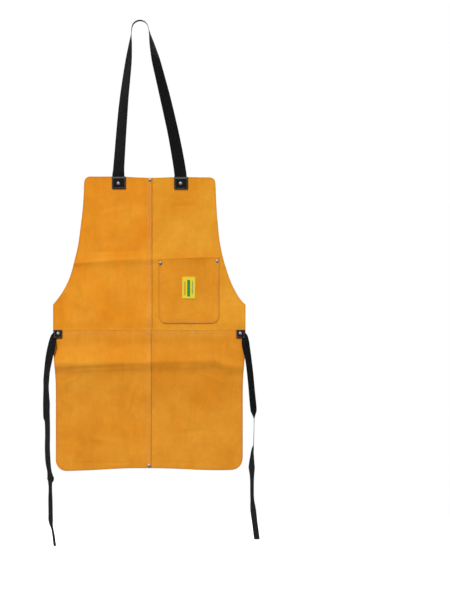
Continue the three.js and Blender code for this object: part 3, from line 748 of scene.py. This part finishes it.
def ribbon_piece(name, points, turns, widths, thickness, material, rib):
    """A flat webbing through points in millimetres, with rounded selvedges and woven ribs."""
    columns = 10
    along = np.gradient(points, axis=0)
    along /= np.linalg.norm(along, axis=1)[:, None]
    level = np.cross(along, (0, 1, 0))
    level /= np.linalg.norm(level, axis=1)[:, None]
    deep = np.cross(level, along)
    turn = np.radians(turns)[:, None]
    half = level * np.cos(turn) + deep * np.sin(turn)
    normal = np.cross(half, along)
    length = np.concatenate([[0], np.cumsum(np.linalg.norm(np.diff(points, axis=0), axis=1))])
    shares = np.cos(np.linspace(0, np.pi, columns + 1))
    body = 1 - 0.62 * np.abs(shares) ** 7
    section = [(s, b) for s, b in zip(shares, body)] + [(s, -b) for s, b in zip(shares[::-1], body)]
    count = len(section)
    rows = []
    uvs = []
    for s, b in section:
        wave = np.sin(2 * np.pi * (length / rib + 0.22 * np.abs(s)))
        lift = 0.12 * wave * (1 - abs(s) ** 6) * np.sign(b)
        groove = 0.14 * np.exp(-((abs(s) - 0.81) / 0.06) ** 2) * np.sign(b)
        out = b * thickness / 2 + lift - groove
        rows.append(points + half * (s * widths / 2)[:, None] + normal * out[:, None])
        uvs.append(np.stack([s * widths / 2, length], axis=1))
    vertices = np.stack(rows, axis=1)
    uv = np.stack(uvs, axis=1).reshape(-1, 2) * MM
    stations = len(points)
    faces = []
    for i in range(stations - 1):
        for k in range(count):
            a, b = i * count + k, i * count + (k + 1) % count
            faces.append((a, a + count, b + count, b))
    top = list(range(columns + 1))
    for k in top[:-1]:
        other = count - 1 - k
        faces.append((k, k + 1, other - 1, other))
        last = (stations - 1) * count
        faces.append((last + other, last + other - 1, last + k + 1, last + k))
    piece = new_object(name, vertices.reshape(-1, 3) * MM, faces, material)
    layer = piece.data.uv_layers.new(name="weave")
    corners = np.zeros(len(piece.data.loops), int)
    piece.data.loops.foreach_get("vertex_index", corners)
    layer.data.foreach_set("uv", uv[corners].ravel())
    return piece


def resampled(points, columns, spacing):
    """A route and its columns through evenly spaced stations on a smooth line."""
    chord = np.concatenate([[0], np.cumsum(np.linalg.norm(np.diff(points, axis=0), axis=1))])
    places = np.linspace(0, chord[-1], max(2, round(chord[-1] / spacing)) + 1)
    line = np.stack([smooth(places, chord, points[:, k]) for k in range(3)], axis=1)
    return line, [smooth(places, chord, column) for column in columns]


# Materials

def srgb(red, green, blue):
    """A colour as seen on screen, for a shader's socket."""
    made = [((v / 255 + 0.055) / 1.055) ** 2.4 for v in (red, green, blue)]
    return (*made, 1)


class Shader:
    """A material made from nodes, with short names for the ones that it uses most."""

    def __init__(self, name, roughness, metallic=0.0, sheen=0.0, specular=0.5):
        self.material = bpy.data.materials.new(name)
        self.material.use_nodes = True
        self.tree = self.material.node_tree
        self.surface = self.tree.nodes["Principled BSDF"]
        self.surface.inputs["Roughness"].default_value = roughness
        self.surface.inputs["Metallic"].default_value = metallic
        self.surface.inputs["Sheen Weight"].default_value = sheen
        self.surface.inputs["Sheen Roughness"].default_value = 0.45
        self.surface.inputs["Specular IOR Level"].default_value = specular
        self.place = self.node("ShaderNodeTexCoord").outputs["Object"]

    def node(self, kind, inputs=(), **settings):
        made = self.tree.nodes.new(kind)
        for key, value in settings.items():
            setattr(made, key, value)
        for key, value in dict(inputs).items():
            self.put(made.inputs[key], value)
        return made

    def put(self, socket, value):
        if isinstance(value, bpy.types.NodeSocket):
            self.tree.links.new(value, socket)
        else:
            socket.default_value = value

    def noise(self, size, detail=3.0, roughness=0.5, stretch=(1, 1, 1), shift=0.0):
        """Noise of features about size millimetres across."""
        moved = self.node("ShaderNodeMapping", {
            "Vector": self.place, "Scale": stretch, "Location": (shift, shift, shift)})
        return self.node("ShaderNodeTexNoise", {
            "Vector": moved.outputs[0], "Scale": 1 / (size * MM), "Detail": detail,
            "Roughness": roughness}).outputs["Fac"]

    def math(self, operation, a, b=0.0, clamp=False):
        return self.node("ShaderNodeMath", {0: a, 1: b}, operation=operation,
                         use_clamp=clamp).outputs[0]

    def span(self, value, low, high, to_low, to_high):
        return self.node("ShaderNodeMapRange", {
            "Value": value, "From Min": low, "From Max": high, "To Min": to_low,
            "To Max": to_high}).outputs["Result"]

    def colour(self, a, b, share, blend="MIX"):
        return self.node("ShaderNodeMix", {0: share, 6: a, 7: b}, data_type="RGBA",
                         blend_type=blend).outputs[2]

    def shade(self, colour, value):
        """A colour made lighter or darker by a number."""
        grey = self.node("ShaderNodeCombineColor", {0: value, 1: value, 2: value}).outputs[0]
        return self.colour(colour, grey, 1.0, "MULTIPLY")

    def attribute(self, name):
        return self.node("ShaderNodeAttribute", attribute_name=name).outputs["Fac"]

    def finish(self, colour, bump=None, depth=0.2, strength=1.0):
        self.put(self.surface.inputs["Base Color"], colour)
        if bump is not None:
            node = self.node("ShaderNodeBump", {
                "Height": bump, "Distance": depth * MM, "Strength": strength})
            self.put(self.surface.inputs["Normal"], node.outputs[0])
        return self.material


# The depths below the neck loop's apex between which the painted light on the skirt's upper part, above its
# fold, fades
PAINTED_LIGHT_HIGH = 1040
PAINTED_LIGHT_LOW = 1085


def hide_material(name, colours, tone, lift, shift):
    """Napped split leather: cloudy tan, a fibrous nap, rubbed, slightly darker edges and painted light above
    the skirt's fold.
    lift is how much lighter the painted light makes the hide above the fade."""
    light, deep = colours
    s = Shader(name, roughness=0.93, sheen=0.12, specular=0.2)
    s.surface.inputs["Sheen Tint"].default_value = (1.0, 0.82, 0.55, 1)
    cloud = s.span(s.noise(120, 3, 0.55, shift=shift), 0.32, 0.68, 0, 1)
    mottle = s.noise(16, 4, 0.6, shift=shift)
    streak = s.noise(2.6, 4, 0.62, (1, 1, 0.42), shift)
    fibre = s.noise(0.7, 5, 0.7, (1, 1, 0.6), shift)
    colour = s.colour(srgb(*deep), srgb(*light), cloud)
    tones = s.math("MULTIPLY", s.span(mottle, 0.3, 0.7, 0.96, 1.035),
                   s.span(streak, 0.3, 0.7, 0.95, 1.05))
    tones = s.math("MULTIPLY", tones, s.span(fibre, 0.25, 0.75, 0.92, 1.08))
    worn = s.span(s.attribute("edge"), 0.25, 1.0, 1.0, 0.8)
    tones = s.math("MULTIPLY", s.math("MULTIPLY", tones, worn), tone)
    pores = s.node("ShaderNodeTexVoronoi", {"Vector": s.place, "Scale": 620.0}).outputs["Distance"]
    tones = s.math("MULTIPLY", tones, s.span(pores, 0.05, 0.35, 0.9, 1.0))
    rub = s.noise(34, 6, 0.68, (1.5, 1, 0.3), shift + 3)
    tones = s.math("MULTIPLY", tones, s.span(rub, 0.38, 0.68, 0.975, 1.05))
    # Painted light: the hide is painted lighter above the skirt's fold, where light falls on its upward-facing
    # side.
    height = s.node("ShaderNodeSeparateXYZ", {0: s.place}).outputs["Z"]
    painted_fold_light = s.span(height, -PAINTED_LIGHT_LOW * MM, -PAINTED_LIGHT_HIGH * MM, 1.0, lift)
    tones = s.math("MULTIPLY", tones, painted_fold_light)
    nap = s.math("ADD", s.math("MULTIPLY", fibre, 0.9), s.math("MULTIPLY", streak, 0.6))
    nap = s.math("ADD", nap, s.math("MULTIPLY", mottle, 0.6))
    nap = s.math("ADD", nap, s.span(pores, 0.05, 0.35, 0.0, 0.25))
    return s.finish(s.shade(colour, tones), nap, depth=0.6, strength=0.8)


def webbing_material():
    """Black woven webbing: ribs across, yarns along, with painted highlights on the weave's high points and a
    little dust in patches.
    """
    s = Shader("webbing", roughness=0.85, sheen=0.03, specular=0.1)
    uv = s.node("ShaderNodeUVMap", uv_map="weave").outputs[0]
    parts = s.node("ShaderNodeSeparateXYZ", {0: uv})
    turn = 2 * math.pi / MM
    across, along = parts.outputs[0], parts.outputs[1]
    yarn = s.math("SINE", s.math("MULTIPLY", across, turn / 1.25))
    pick = s.math("SINE", s.math("ADD", s.math("MULTIPLY", along, turn / 1.1),
                                 s.math("MULTIPLY", s.math("ABSOLUTE", across), turn / 2.4)))
    weave = s.math("MULTIPLY", s.math("ABSOLUTE", yarn), s.math("ABSOLUTE", pick))
    fuzz = s.noise(0.5, 3, 0.7)
    dust = s.span(s.noise(9, 4, 0.6), 0.4, 0.75, 0.8, 1.6)
    dust = s.math("MULTIPLY", dust, s.span(fuzz, 0.3, 0.7, 0.7, 1.3))
    # Painted highlight: the weave's high points are painted lighter.
    colour = s.colour(srgb(5, 5, 6), srgb(50, 51, 54), s.math("MULTIPLY", weave, weave))
    return s.finish(s.shade(colour, dust), s.math("ADD", weave, s.math("MULTIPLY", fuzz, 0.4)), 0.4, 1.0)


def patch_material():
    """Smooth black leather with a fine pebble and grey rubbed edges."""
    s = Shader("patch", roughness=0.62, specular=0.15)
    pebble = s.node("ShaderNodeTexVoronoi", {"Vector": s.place, "Scale": 900.0},
                    feature="SMOOTH_F1").outputs["Distance"]
    rubbed = s.math("MULTIPLY", s.attribute("edge"), s.noise(3, 4, 0.6))
    colour = s.colour(srgb(14, 14, 15), srgb(62, 60, 58), s.span(rubbed, 0.25, 0.8, 0, 1))
    return s.finish(colour, s.math("ADD", pebble, s.noise(5, 3)), depth=0.2, strength=0.5)


def metal_material():
    """Satin nickel, slightly tarnished in patches."""
    s = Shader("rivet", roughness=0.42, metallic=1.0)
    tarnish = s.span(s.noise(2.2, 4, 0.6), 0.45, 0.7, 0, 1)
    colour = s.colour(srgb(184, 184, 188), srgb(128, 127, 123), tarnish)
    s.put(s.surface.inputs["Roughness"], s.span(s.noise(0.8, 4), 0.3, 0.7, 0.46, 0.6))
    return s.finish(colour, s.noise(0.5, 3), depth=0.05, strength=0.4)


def thread_material(name, light, dark):
    """Twisted sewing thread."""
    s = Shader(name, roughness=0.8, sheen=0.15, specular=0.3)
    twist = s.noise(0.5, 3, 0.6)
    colour = s.colour(srgb(*dark), srgb(*light), s.span(twist, 0.3, 0.7, 0, 1))
    return s.finish(s.shade(colour, s.span(s.noise(14, 2), 0.3, 0.7, 0.88, 1.08)), twist, 0.2, 0.6)


def label_material():
    """A woven yellow label with plain stripes along it."""
    s = Shader("label", roughness=0.72, specular=0.3)
    uv = s.node("ShaderNodeUVMap", uv_map="print").outputs[0]
    parts = s.node("ShaderNodeSeparateXYZ", {0: uv})
    u, v = parts.outputs[0], parts.outputs[1]

    def band(value, low, high):
        return s.math("MULTIPLY", s.math("GREATER_THAN", value, low),
                      s.math("LESS_THAN", value, high))

    cloth = s.colour(srgb(232, 214, 36), srgb(246, 226, 60), s.noise(4, 3))
    stripes = [
        (0.38, 0.60, 0.10, 0.86, (58, 142, 62)),
        (0.17, 0.24, 0.16, 0.78, (214, 96, 52)),
        (0.74, 0.80, 0.22, 0.80, (120, 138, 120)),
    ]
    for left, right, low, high, tint in stripes:
        share = s.math("MULTIPLY", band(u, left, right), band(v, low, high))
        cloth = s.colour(cloth, srgb(*tint), share)
    fill = s.node("ShaderNodeTexWave", {
        "Vector": s.place, "Scale": 420.0, "Distortion": 0.4}, bands_direction="Z").outputs["Fac"]
    return s.finish(s.shade(cloth, s.span(fill, 0, 1, 0.92, 1.04)), fill, 0.12, 0.6)


def floor_material():
    """White, and fading out towards the rim."""
    s = Shader("floor", roughness=0.9, specular=0.0)
    s.surface.inputs["Emission Color"].default_value = (1, 1, 1, 1)
    s.surface.inputs["Emission Strength"].default_value = FLOOR_GLOW
    reach = s.node("ShaderNodeVectorMath", {0: s.place}, operation="LENGTH").outputs["Value"]
    fade = s.span(reach, 0.45 * FLOOR_RADIUS, 0.95 * FLOOR_RADIUS, 1, 0)
    back = s.node("ShaderNodeNewGeometry").outputs["Backfacing"]
    s.put(s.surface.inputs["Alpha"], s.math("MULTIPLY", fade, s.math("SUBTRACT", 1, back)))
    return s.finish(srgb(248, 248, 248))


# Stitches and rivets

def stitch_mesh(name, runs, material, length, radius):
    """Stitches along lines of (across, drop) points. Each run is a line, a surface and the
    sign of the side that its stitches lie on: -1 in front of it, +1 behind it."""
    sides, rings = 6, 5
    vertices, faces = [], []
    ring_at = np.linspace(-0.5, 0.5, rings)
    angles = np.arange(sides) * 2 * np.pi / sides
    for line, surface, sign, pitch in runs:
        line = np.asarray(line, float)
        travelled = np.concatenate([[0], np.cumsum(np.linalg.norm(np.diff(line, axis=0), axis=1))])
        places = np.arange(pitch / 2, travelled[-1], pitch)
        place = places[:, None] + ring_at[None, :] * length
        across = np.interp(place, travelled, line[:, 0])
        drop = np.interp(place, travelled, line[:, 1])
        step_a = across[:, -1] - across[:, 0]
        step_d = drop[:, -1] - drop[:, 0]
        size = np.hypot(step_a, step_d)
        aside_a, aside_d = -step_d / size, step_a / size
        bulge = 1 - (2 * ring_at) ** 2
        height = radius * (-0.55 + 1.15 * bulge)
        y = surface(across, drop) + sign * height[None, :]
        thick = radius * np.sqrt(np.maximum(0.12, bulge))
        for n in range(len(places)):
            first = len(vertices)
            for k in range(rings):
                centre = to_world(across[n, k], y[n, k], drop[n, k])
                for angle in angles:
                    aside = thick[k] * math.cos(angle) * 1.1
                    out = sign * thick[k] * math.sin(angle)
                    shift = np.array([aside * aside_a[n], out, -aside * aside_d[n]]) * MM
                    vertices.append(centre + shift)
            for k in range(rings - 1):
                for m in range(sides):
                    a, b = first + k * sides + m, first + k * sides + (m + 1) % sides
                    faces.append((a, b, b + sides, a + sides))
            faces.append(tuple(first + m for m in reversed(range(sides))))
            last = first + (rings - 1) * sides
            faces.append(tuple(last + m for m in range(sides)))
    piece = new_object(name, vertices, faces, material)
    made = bmesh.new()
    made.from_mesh(piece.data)
    bmesh.ops.recalc_face_normals(made, faces=made.faces)
    made.to_mesh(piece.data)
    made.free()
    return piece


def rivet_piece(node, material):
    """A cap rivet: a domed head with a rolled rim in front, a shank and a burr behind."""
    low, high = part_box(node)
    centre = (low + high) / 2
    head, burr, shank = 5.0, 4.0, 1.5
    face, rear = low.y / MM + 2.4, high.y / MM - 1.2
    profile = [
        (0, face - 2.4), (1.3, face - 2.32), (2.5, face - 2.02), (3.4, face - 1.5), (3.85, face - 1.0),
        (4.1, face - 0.72), (4.45, face - 0.72), (4.8, face - 0.6), (head, face - 0.32), (4.9, face - 0.06),
        (4.5, face), (shank, face), (shank, rear), (burr - 0.25, rear), (burr, rear + 0.2),
        (burr, rear + 0.6), (burr - 0.4, rear + 0.95), (2.6, rear + 1.0), (1.9, rear + 1.18), (0, rear + 1.2),
    ]
    segments = 36
    vertices = [(centre.x, profile[0][1] * MM, centre.z)]
    for radius, y in profile[1:-1]:
        for k in range(segments):
            angle = 2 * math.pi * k / segments
            vertices.append((centre.x + radius * MM * math.cos(angle), y * MM,
                             centre.z + radius * MM * math.sin(angle)))
    vertices.append((centre.x, profile[-1][1] * MM, centre.z))
    faces = []
    rings = len(profile) - 2
    for k in range(segments):
        n = (k + 1) % segments
        faces.append((0, 1 + k, 1 + n))
        for r in range(rings - 1):
            a, b = 1 + r * segments + k, 1 + r * segments + n
            faces.append((a, a + segments, b + segments, b))
        last = 1 + (rings - 1) * segments
        faces.append((last + k, len(vertices) - 1, last + n))
    return new_object(f"{node}_piece", vertices, faces, material)


# Camera

def photo_point(px, py, y):
    """The point of the frame behind a pixel of the photograph."""
    return Vector(((px - ORIGIN_PIXEL[0]) * PIXEL * MM, y, (ORIGIN_PIXEL[1] - py) * PIXEL * MM))


def make_camera():
    data = bpy.data.cameras.new("camera")
    data.sensor_width = SENSOR
    data.lens = SENSOR * CAMERA_DISTANCE / (PHOTO_SIZE[1] * PIXEL * MM)
    data.clip_end = 100
    camera = bpy.data.objects.new("camera", data)
    camera.location = photo_point(PHOTO_SIZE[0] / 2, PHOTO_SIZE[1] / 2, -CAMERA_DISTANCE)
    camera.rotation_euler = (math.pi / 2, 0, 0)
    bpy.context.scene.collection.objects.link(camera)
    bpy.context.scene.camera = camera


make_camera()

# Waist ties, the free cords
webbing = webbing_material()


def tie_route(side, rows):
    across = side * (SIDE_PATCH_ACROSS + rows[:, 1])
    points = to_world(across, -rows[:, 2], SIDE_PATCH_DROP + rows[:, 0]) / MM
    return points, [side * rows[:, 3], rows[:, 4] * TIE_WIDTH]


for hand, side, rows in (("left", -1, LEFT_TIE), ("right", 1, RIGHT_TIE)):
    points, columns = tie_route(side, rows)
    line, (turns, widths) = resampled(points, columns, 0.9)
    tie = ribbon_piece(f"waist_tie_{hand}", line, turns, widths, WEBBING, webbing, rib=3.6)
    finished(tie, "webbing", f"tie_{hand}")


# Neck strap
def neck_route():
    rows = []
    centreline = LOOP_RADIUS + WEBBING / 2
    top = NECK_RISE

    def leg(row, hand, reach, turn):
        end = centreline * math.cos(math.radians(LEAN[hand])) * (-1 if hand == "left" else 1)
        x = mix(LOOP_SHIFT + STRAP_ACROSS[hand], end, reach)
        rows.append((x, -STRAP_DEPTH * (1 - row[0]), -top * (1 - row[0]), turn))

    rows.append((LOOP_SHIFT + STRAP_ACROSS["left"], -STRAP_DEPTH, -top - NECK_HOLD, 0))
    for row in NECK_LEGS:
        leg(row, "left", row[1], row[2])
    steps = 14
    for i in range(steps + 1):
        angle = math.radians(mix(180 - LEAN["left"], LEAN["right"], i / steps))
        rows.append((centreline * math.cos(angle), 0, centreline * math.sin(angle) - LOOP_RADIUS, 90))
    for row in NECK_LEGS[::-1]:
        leg(row, "right", row[3], row[4])
    rows.append((LOOP_SHIFT + STRAP_ACROSS["right"], -STRAP_DEPTH, -top - NECK_HOLD, 0))
    return np.array(rows)


route = neck_route()
line, (turns,) = resampled(route[:, :3], [route[:, 3]], 1.0)
strap = ribbon_piece("neck_strap_webbing", line, turns, np.full(len(line), NECK_WIDTH), WEBBING, webbing, rib=4)
finished(strap, "webbing", "neck_strap")

# Stitched rows, as lines of (across, drop) points
STITCH_PITCH = 4.2
SEAM_END = 904.8
VERTICAL_ROWS = (4.4, 12.4)
WAIST_ROWS = (6.2, 10.8)
POCKET_ROWS = (4.2, 8.6)
side_reach = SIDE_PATCH_ACROSS - SIDE_PATCH[0] / 2 - 1
bib_lines = [[(BIB_SEAM - row, 6), (BIB_SEAM - row, BIB_LENGTH)] for row in VERTICAL_ROWS]
skirt_lines = [[(SKIRT_SEAM - row, BIB_LENGTH + 2), (SKIRT_SEAM - row, SEAM_END)]
               for row in VERTICAL_ROWS]
waist_lines = [[(-side_reach, BIB_LENGTH + row), (side_reach, BIB_LENGTH + row)] for row in WAIST_ROWS]


def pocket_line(distance):
    """A stitched row inside the pocket's sides and bottom, from mouth to mouth."""
    line = divided(pocket_outline(), 3, closed=False) * (1, -1)
    return (line + line_normals(line) * distance)[1:-1] * (1, -1)


pocket_lines = [pocket_line(distance) for distance in POCKET_ROWS]

# Hide panels, pocket and label
ORANGE_HIDE = (240, 158, 40), (234, 141, 22)
GOLDEN_HIDE = (238, 163, 45), (231, 147, 28)
TAN_HIDE = (238, 158, 44), (228, 141, 28)
# The sixth column, lift, is the painted light on the skirt's upper part above its fold.
panels = [
    ("bib_left", -1, 1, ORANGE_HIDE, 0.98, 1.0, 1.0, bib_lines),
    ("bib_right", 1, 1, GOLDEN_HIDE, 0.97, 1.0, 2.0, []),
    ("skirt_left", -1, -1, TAN_HIDE, 0.93, 1.05, 3.0, skirt_lines + waist_lines),
    ("skirt_right", 1, -1, TAN_HIDE, 0.91, 1.02, 4.0, waist_lines),
]
SHEET_SPACING = 4.0
for name, side, level, colours, tone, lift, shift, rows in panels:
    outline = panel_outline(side, level)
    hide = hide_material(f"hide_{name}", colours, tone, lift, shift)
    sheet = sheet_piece(f"{name}_hide", outline, SHEET_SPACING, panel_middle(side, level), LEATHER, hide, rows)
    finished(sheet, "leather", name)
    low, high = outline.min(0), outline.max(0)

hide = hide_material("hide_pocket", ORANGE_HIDE, 0.93, 1.0, 5.0)
pocket = sheet_piece("pocket_hide", pocket_outline(), 3.5, pocket_middle, LEATHER, hide, pocket_lines)
finished(pocket, "leather", "pocket")

label_outline = rectangle_outline(
    POCKET_CENTRE, POCKET_DROP + LABEL_DROP + LABEL_HEIGHT / 2, LABEL_WIDTH, LABEL_HEIGHT, 0.8)
label = sheet_piece("label_cloth", label_outline, 2.0, label_middle, LABEL_THICKNESS, label_material())
finished(label, "label", "label")
layer = label.data.uv_layers.new(name="print")
label_low, label_high = (Vector(v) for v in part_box("label"))
for loop in label.data.loops:
    p = label.data.vertices[loop.vertex_index].co
    layer.data[loop.index].uv = ((p.x - label_low.x) / (label_high.x - label_low.x),
                                 (p.z - label_low.z) / (label_high.z - label_low.z))

# Patches
patch_leather = patch_material()
patch_front = {}
patch_outlines = {}
for hand, side in (("left", -1), ("right", 1)):
    strap_across = STRAP_ACROSS[hand]
    places = {
        f"neck_patch_{hand}": (
            strap_across + NECK_PATCH_SHIFT, top_edge(strap_across) + NECK_PATCH[1] / 2, NECK_PATCH, 0),
        f"side_patch_{hand}": (
            side * SIDE_PATCH_ACROSS, SIDE_PATCH_DROP, SIDE_PATCH, -PITCH / 2),
    }
    for node, (across, drop, (width, height), seat) in places.items():
        outline = rectangle_outline(across, drop, width, height, PATCH_CORNER)

        def middle(a, d, across=across, drop=drop, width=width, height=height, seat=seat):
            u = np.clip(2 * np.abs(a - across) / width, 0, 1)
            v = np.clip(2 * np.abs(d - drop) / height, 0, 1)
            return seat - PATCH_DEPTH + 0.25 * np.maximum(u, v) ** 8 + 0 * a

        patch_front[node] = middle
        patch_outlines[node] = outline
        patch = sheet_piece(f"{node}_leather", outline, 1.8, middle, PATCH_THICKNESS, patch_leather)
        finished(patch, "patch", node)

# Stitches
pale_thread = thread_material("thread", (234, 206, 168), (204, 166, 118))
tan_thread = thread_material("pocket_thread", (226, 178, 116), (198, 146, 84))
grey_thread = thread_material("patch_thread", (150, 150, 148), (92, 92, 92))
label_thread = thread_material("label_thread", (222, 206, 120), (190, 170, 80))

# Short runs sewn twice over. Columns: across and drop of one end, across and drop of the other.
TACKS = [
    (-8, 484, 2, 484), (-8, 485.4, 2, 485.4), (-3.4, 480, -3.4, 490),
    (134, 484, 144, 484), (135, 485.2, 143, 485.2),
    (-3.4, 7, -3.4, 16), (-4.6, 8, -4.6, 15),
]
panel_runs = [(divided([tack[:2], tack[2:]], 3, closed=False), front_of, -1, 2.4) for tack in TACKS]
for line in bib_lines + skirt_lines + waist_lines:
    panel_runs.append((line if len(line) > 2 else divided(line, 10, closed=False), front_of, -1, STITCH_PITCH))
    panel_runs.append((divided(line, 10, closed=False), back_of, 1, STITCH_PITCH))
stitches = stitch_mesh("seam_stitches", panel_runs, pale_thread, 3.3, 0.43)
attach(stitches, BODY)


def pocket_front(across, drop):
    return pocket_middle(across, drop) - LEATHER / 2


pocket_runs = []
for line in pocket_lines:
    pocket_runs.append((line, pocket_front, -1, STITCH_PITCH))
    pocket_runs.append((line, back_of, 1, STITCH_PITCH))
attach(stitch_mesh("pocket_stitches", pocket_runs, tan_thread, 3.1, 0.38), BODY)

patch_runs = []
for node, outline in patch_outlines.items():
    middle = patch_front[node]
    loop = inset(divided(outline, 1.5) * (1, -1), 3.2) * (1, -1)
    loop = np.vstack([loop, loop[:1]])

    def front(a, d, middle=middle):
        return middle(a, d) - PATCH_THICKNESS / 2

    patch_runs.append((loop, front, -1, 3.2))
    patch_runs.append((loop, back_of, 1, 3.2))
    if node.startswith("neck"):
        low, high = outline.min(0), outline.max(0)
        for row in (2.6, 4.0, 5.2):
            bar = divided([(low[0] + 3, low[1] + row), (high[0] - 3, low[1] + row)], 3, closed=False)
            patch_runs.append((bar, front, -1, 2.6))
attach(stitch_mesh("patch_stitches", patch_runs, grey_thread, 2.7, 0.45), BODY)

label_loop = inset(divided(label_outline, 2) * (1, -1), 2.0) * (1, -1)
label_loop = np.vstack([label_loop, label_loop[:1]])
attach(stitch_mesh("label_stitches", [
    (label_loop, lambda a, d: label_middle(a, d) - LABEL_THICKNESS / 2, -1, 2.6)],
    label_thread, 2.1, 0.28), BODY)

# Rivets
nickel = metal_material()
for node in sorted(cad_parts):
    if node.startswith("rivet_"):
        finished(rivet_piece(node, nickel), "rivet", node)


# Floor, light and world
FLOOR_DROP = 40
FLOOR_RADIUS = 2.0
FLOOR_GLOW = 0.62


def make_floor():
    made = bmesh.new()
    bmesh.ops.create_circle(made, cap_ends=True, radius=FLOOR_RADIUS, segments=96)
    mesh = bpy.data.meshes.new("floor")
    made.to_mesh(mesh)
    made.free()
    floor = bpy.data.objects.new("floor", mesh)
    floor.location = (0, 0, cad_low.z - FLOOR_DROP * MM)
    mesh.materials.append(floor_material())
    bpy.context.scene.collection.objects.link(floor)
    floor.visible_diffuse = False
    floor.visible_glossy = False
    floor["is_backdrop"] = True


def make_light(name, heading, strength, softness):
    """A wide, soft light far away, shining along heading."""
    data = bpy.data.lights.new(name, "SUN")
    data.angle = math.radians(softness)
    data.energy = strength
    light = bpy.data.objects.new(name, data)
    light.rotation_euler = Vector(heading).to_track_quat("-Z", "Y").to_euler()
    bpy.context.scene.collection.objects.link(light)


def make_world(strength):
    """White behind the object, and a softer white as its light."""
    world = bpy.data.worlds.new("world")
    bpy.context.scene.world = world
    world.use_nodes = True
    nodes, links = world.node_tree.nodes, world.node_tree.links
    ray = nodes.new("ShaderNodeLightPath")
    span = nodes.new("ShaderNodeMapRange")
    span.inputs["To Min"].default_value = strength
    span.inputs["To Max"].default_value = 1.0
    links.new(ray.outputs["Is Camera Ray"], span.inputs["Value"])
    background = nodes["Background"]
    background.inputs["Color"].default_value = (1, 1, 1, 1)
    links.new(span.outputs["Result"], background.inputs["Strength"])


make_floor()
make_light("key", (0.3, 0.62, -0.76), 3.2, 14)
make_light("fill", (-0.6, 0.75, -0.1), 0.35, 40)
make_light("back", (-0.4, -0.7, -0.6), 2.2, 25)
make_world(0.25)
bpy.context.scene.view_settings.view_transform = "Standard"

low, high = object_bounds()
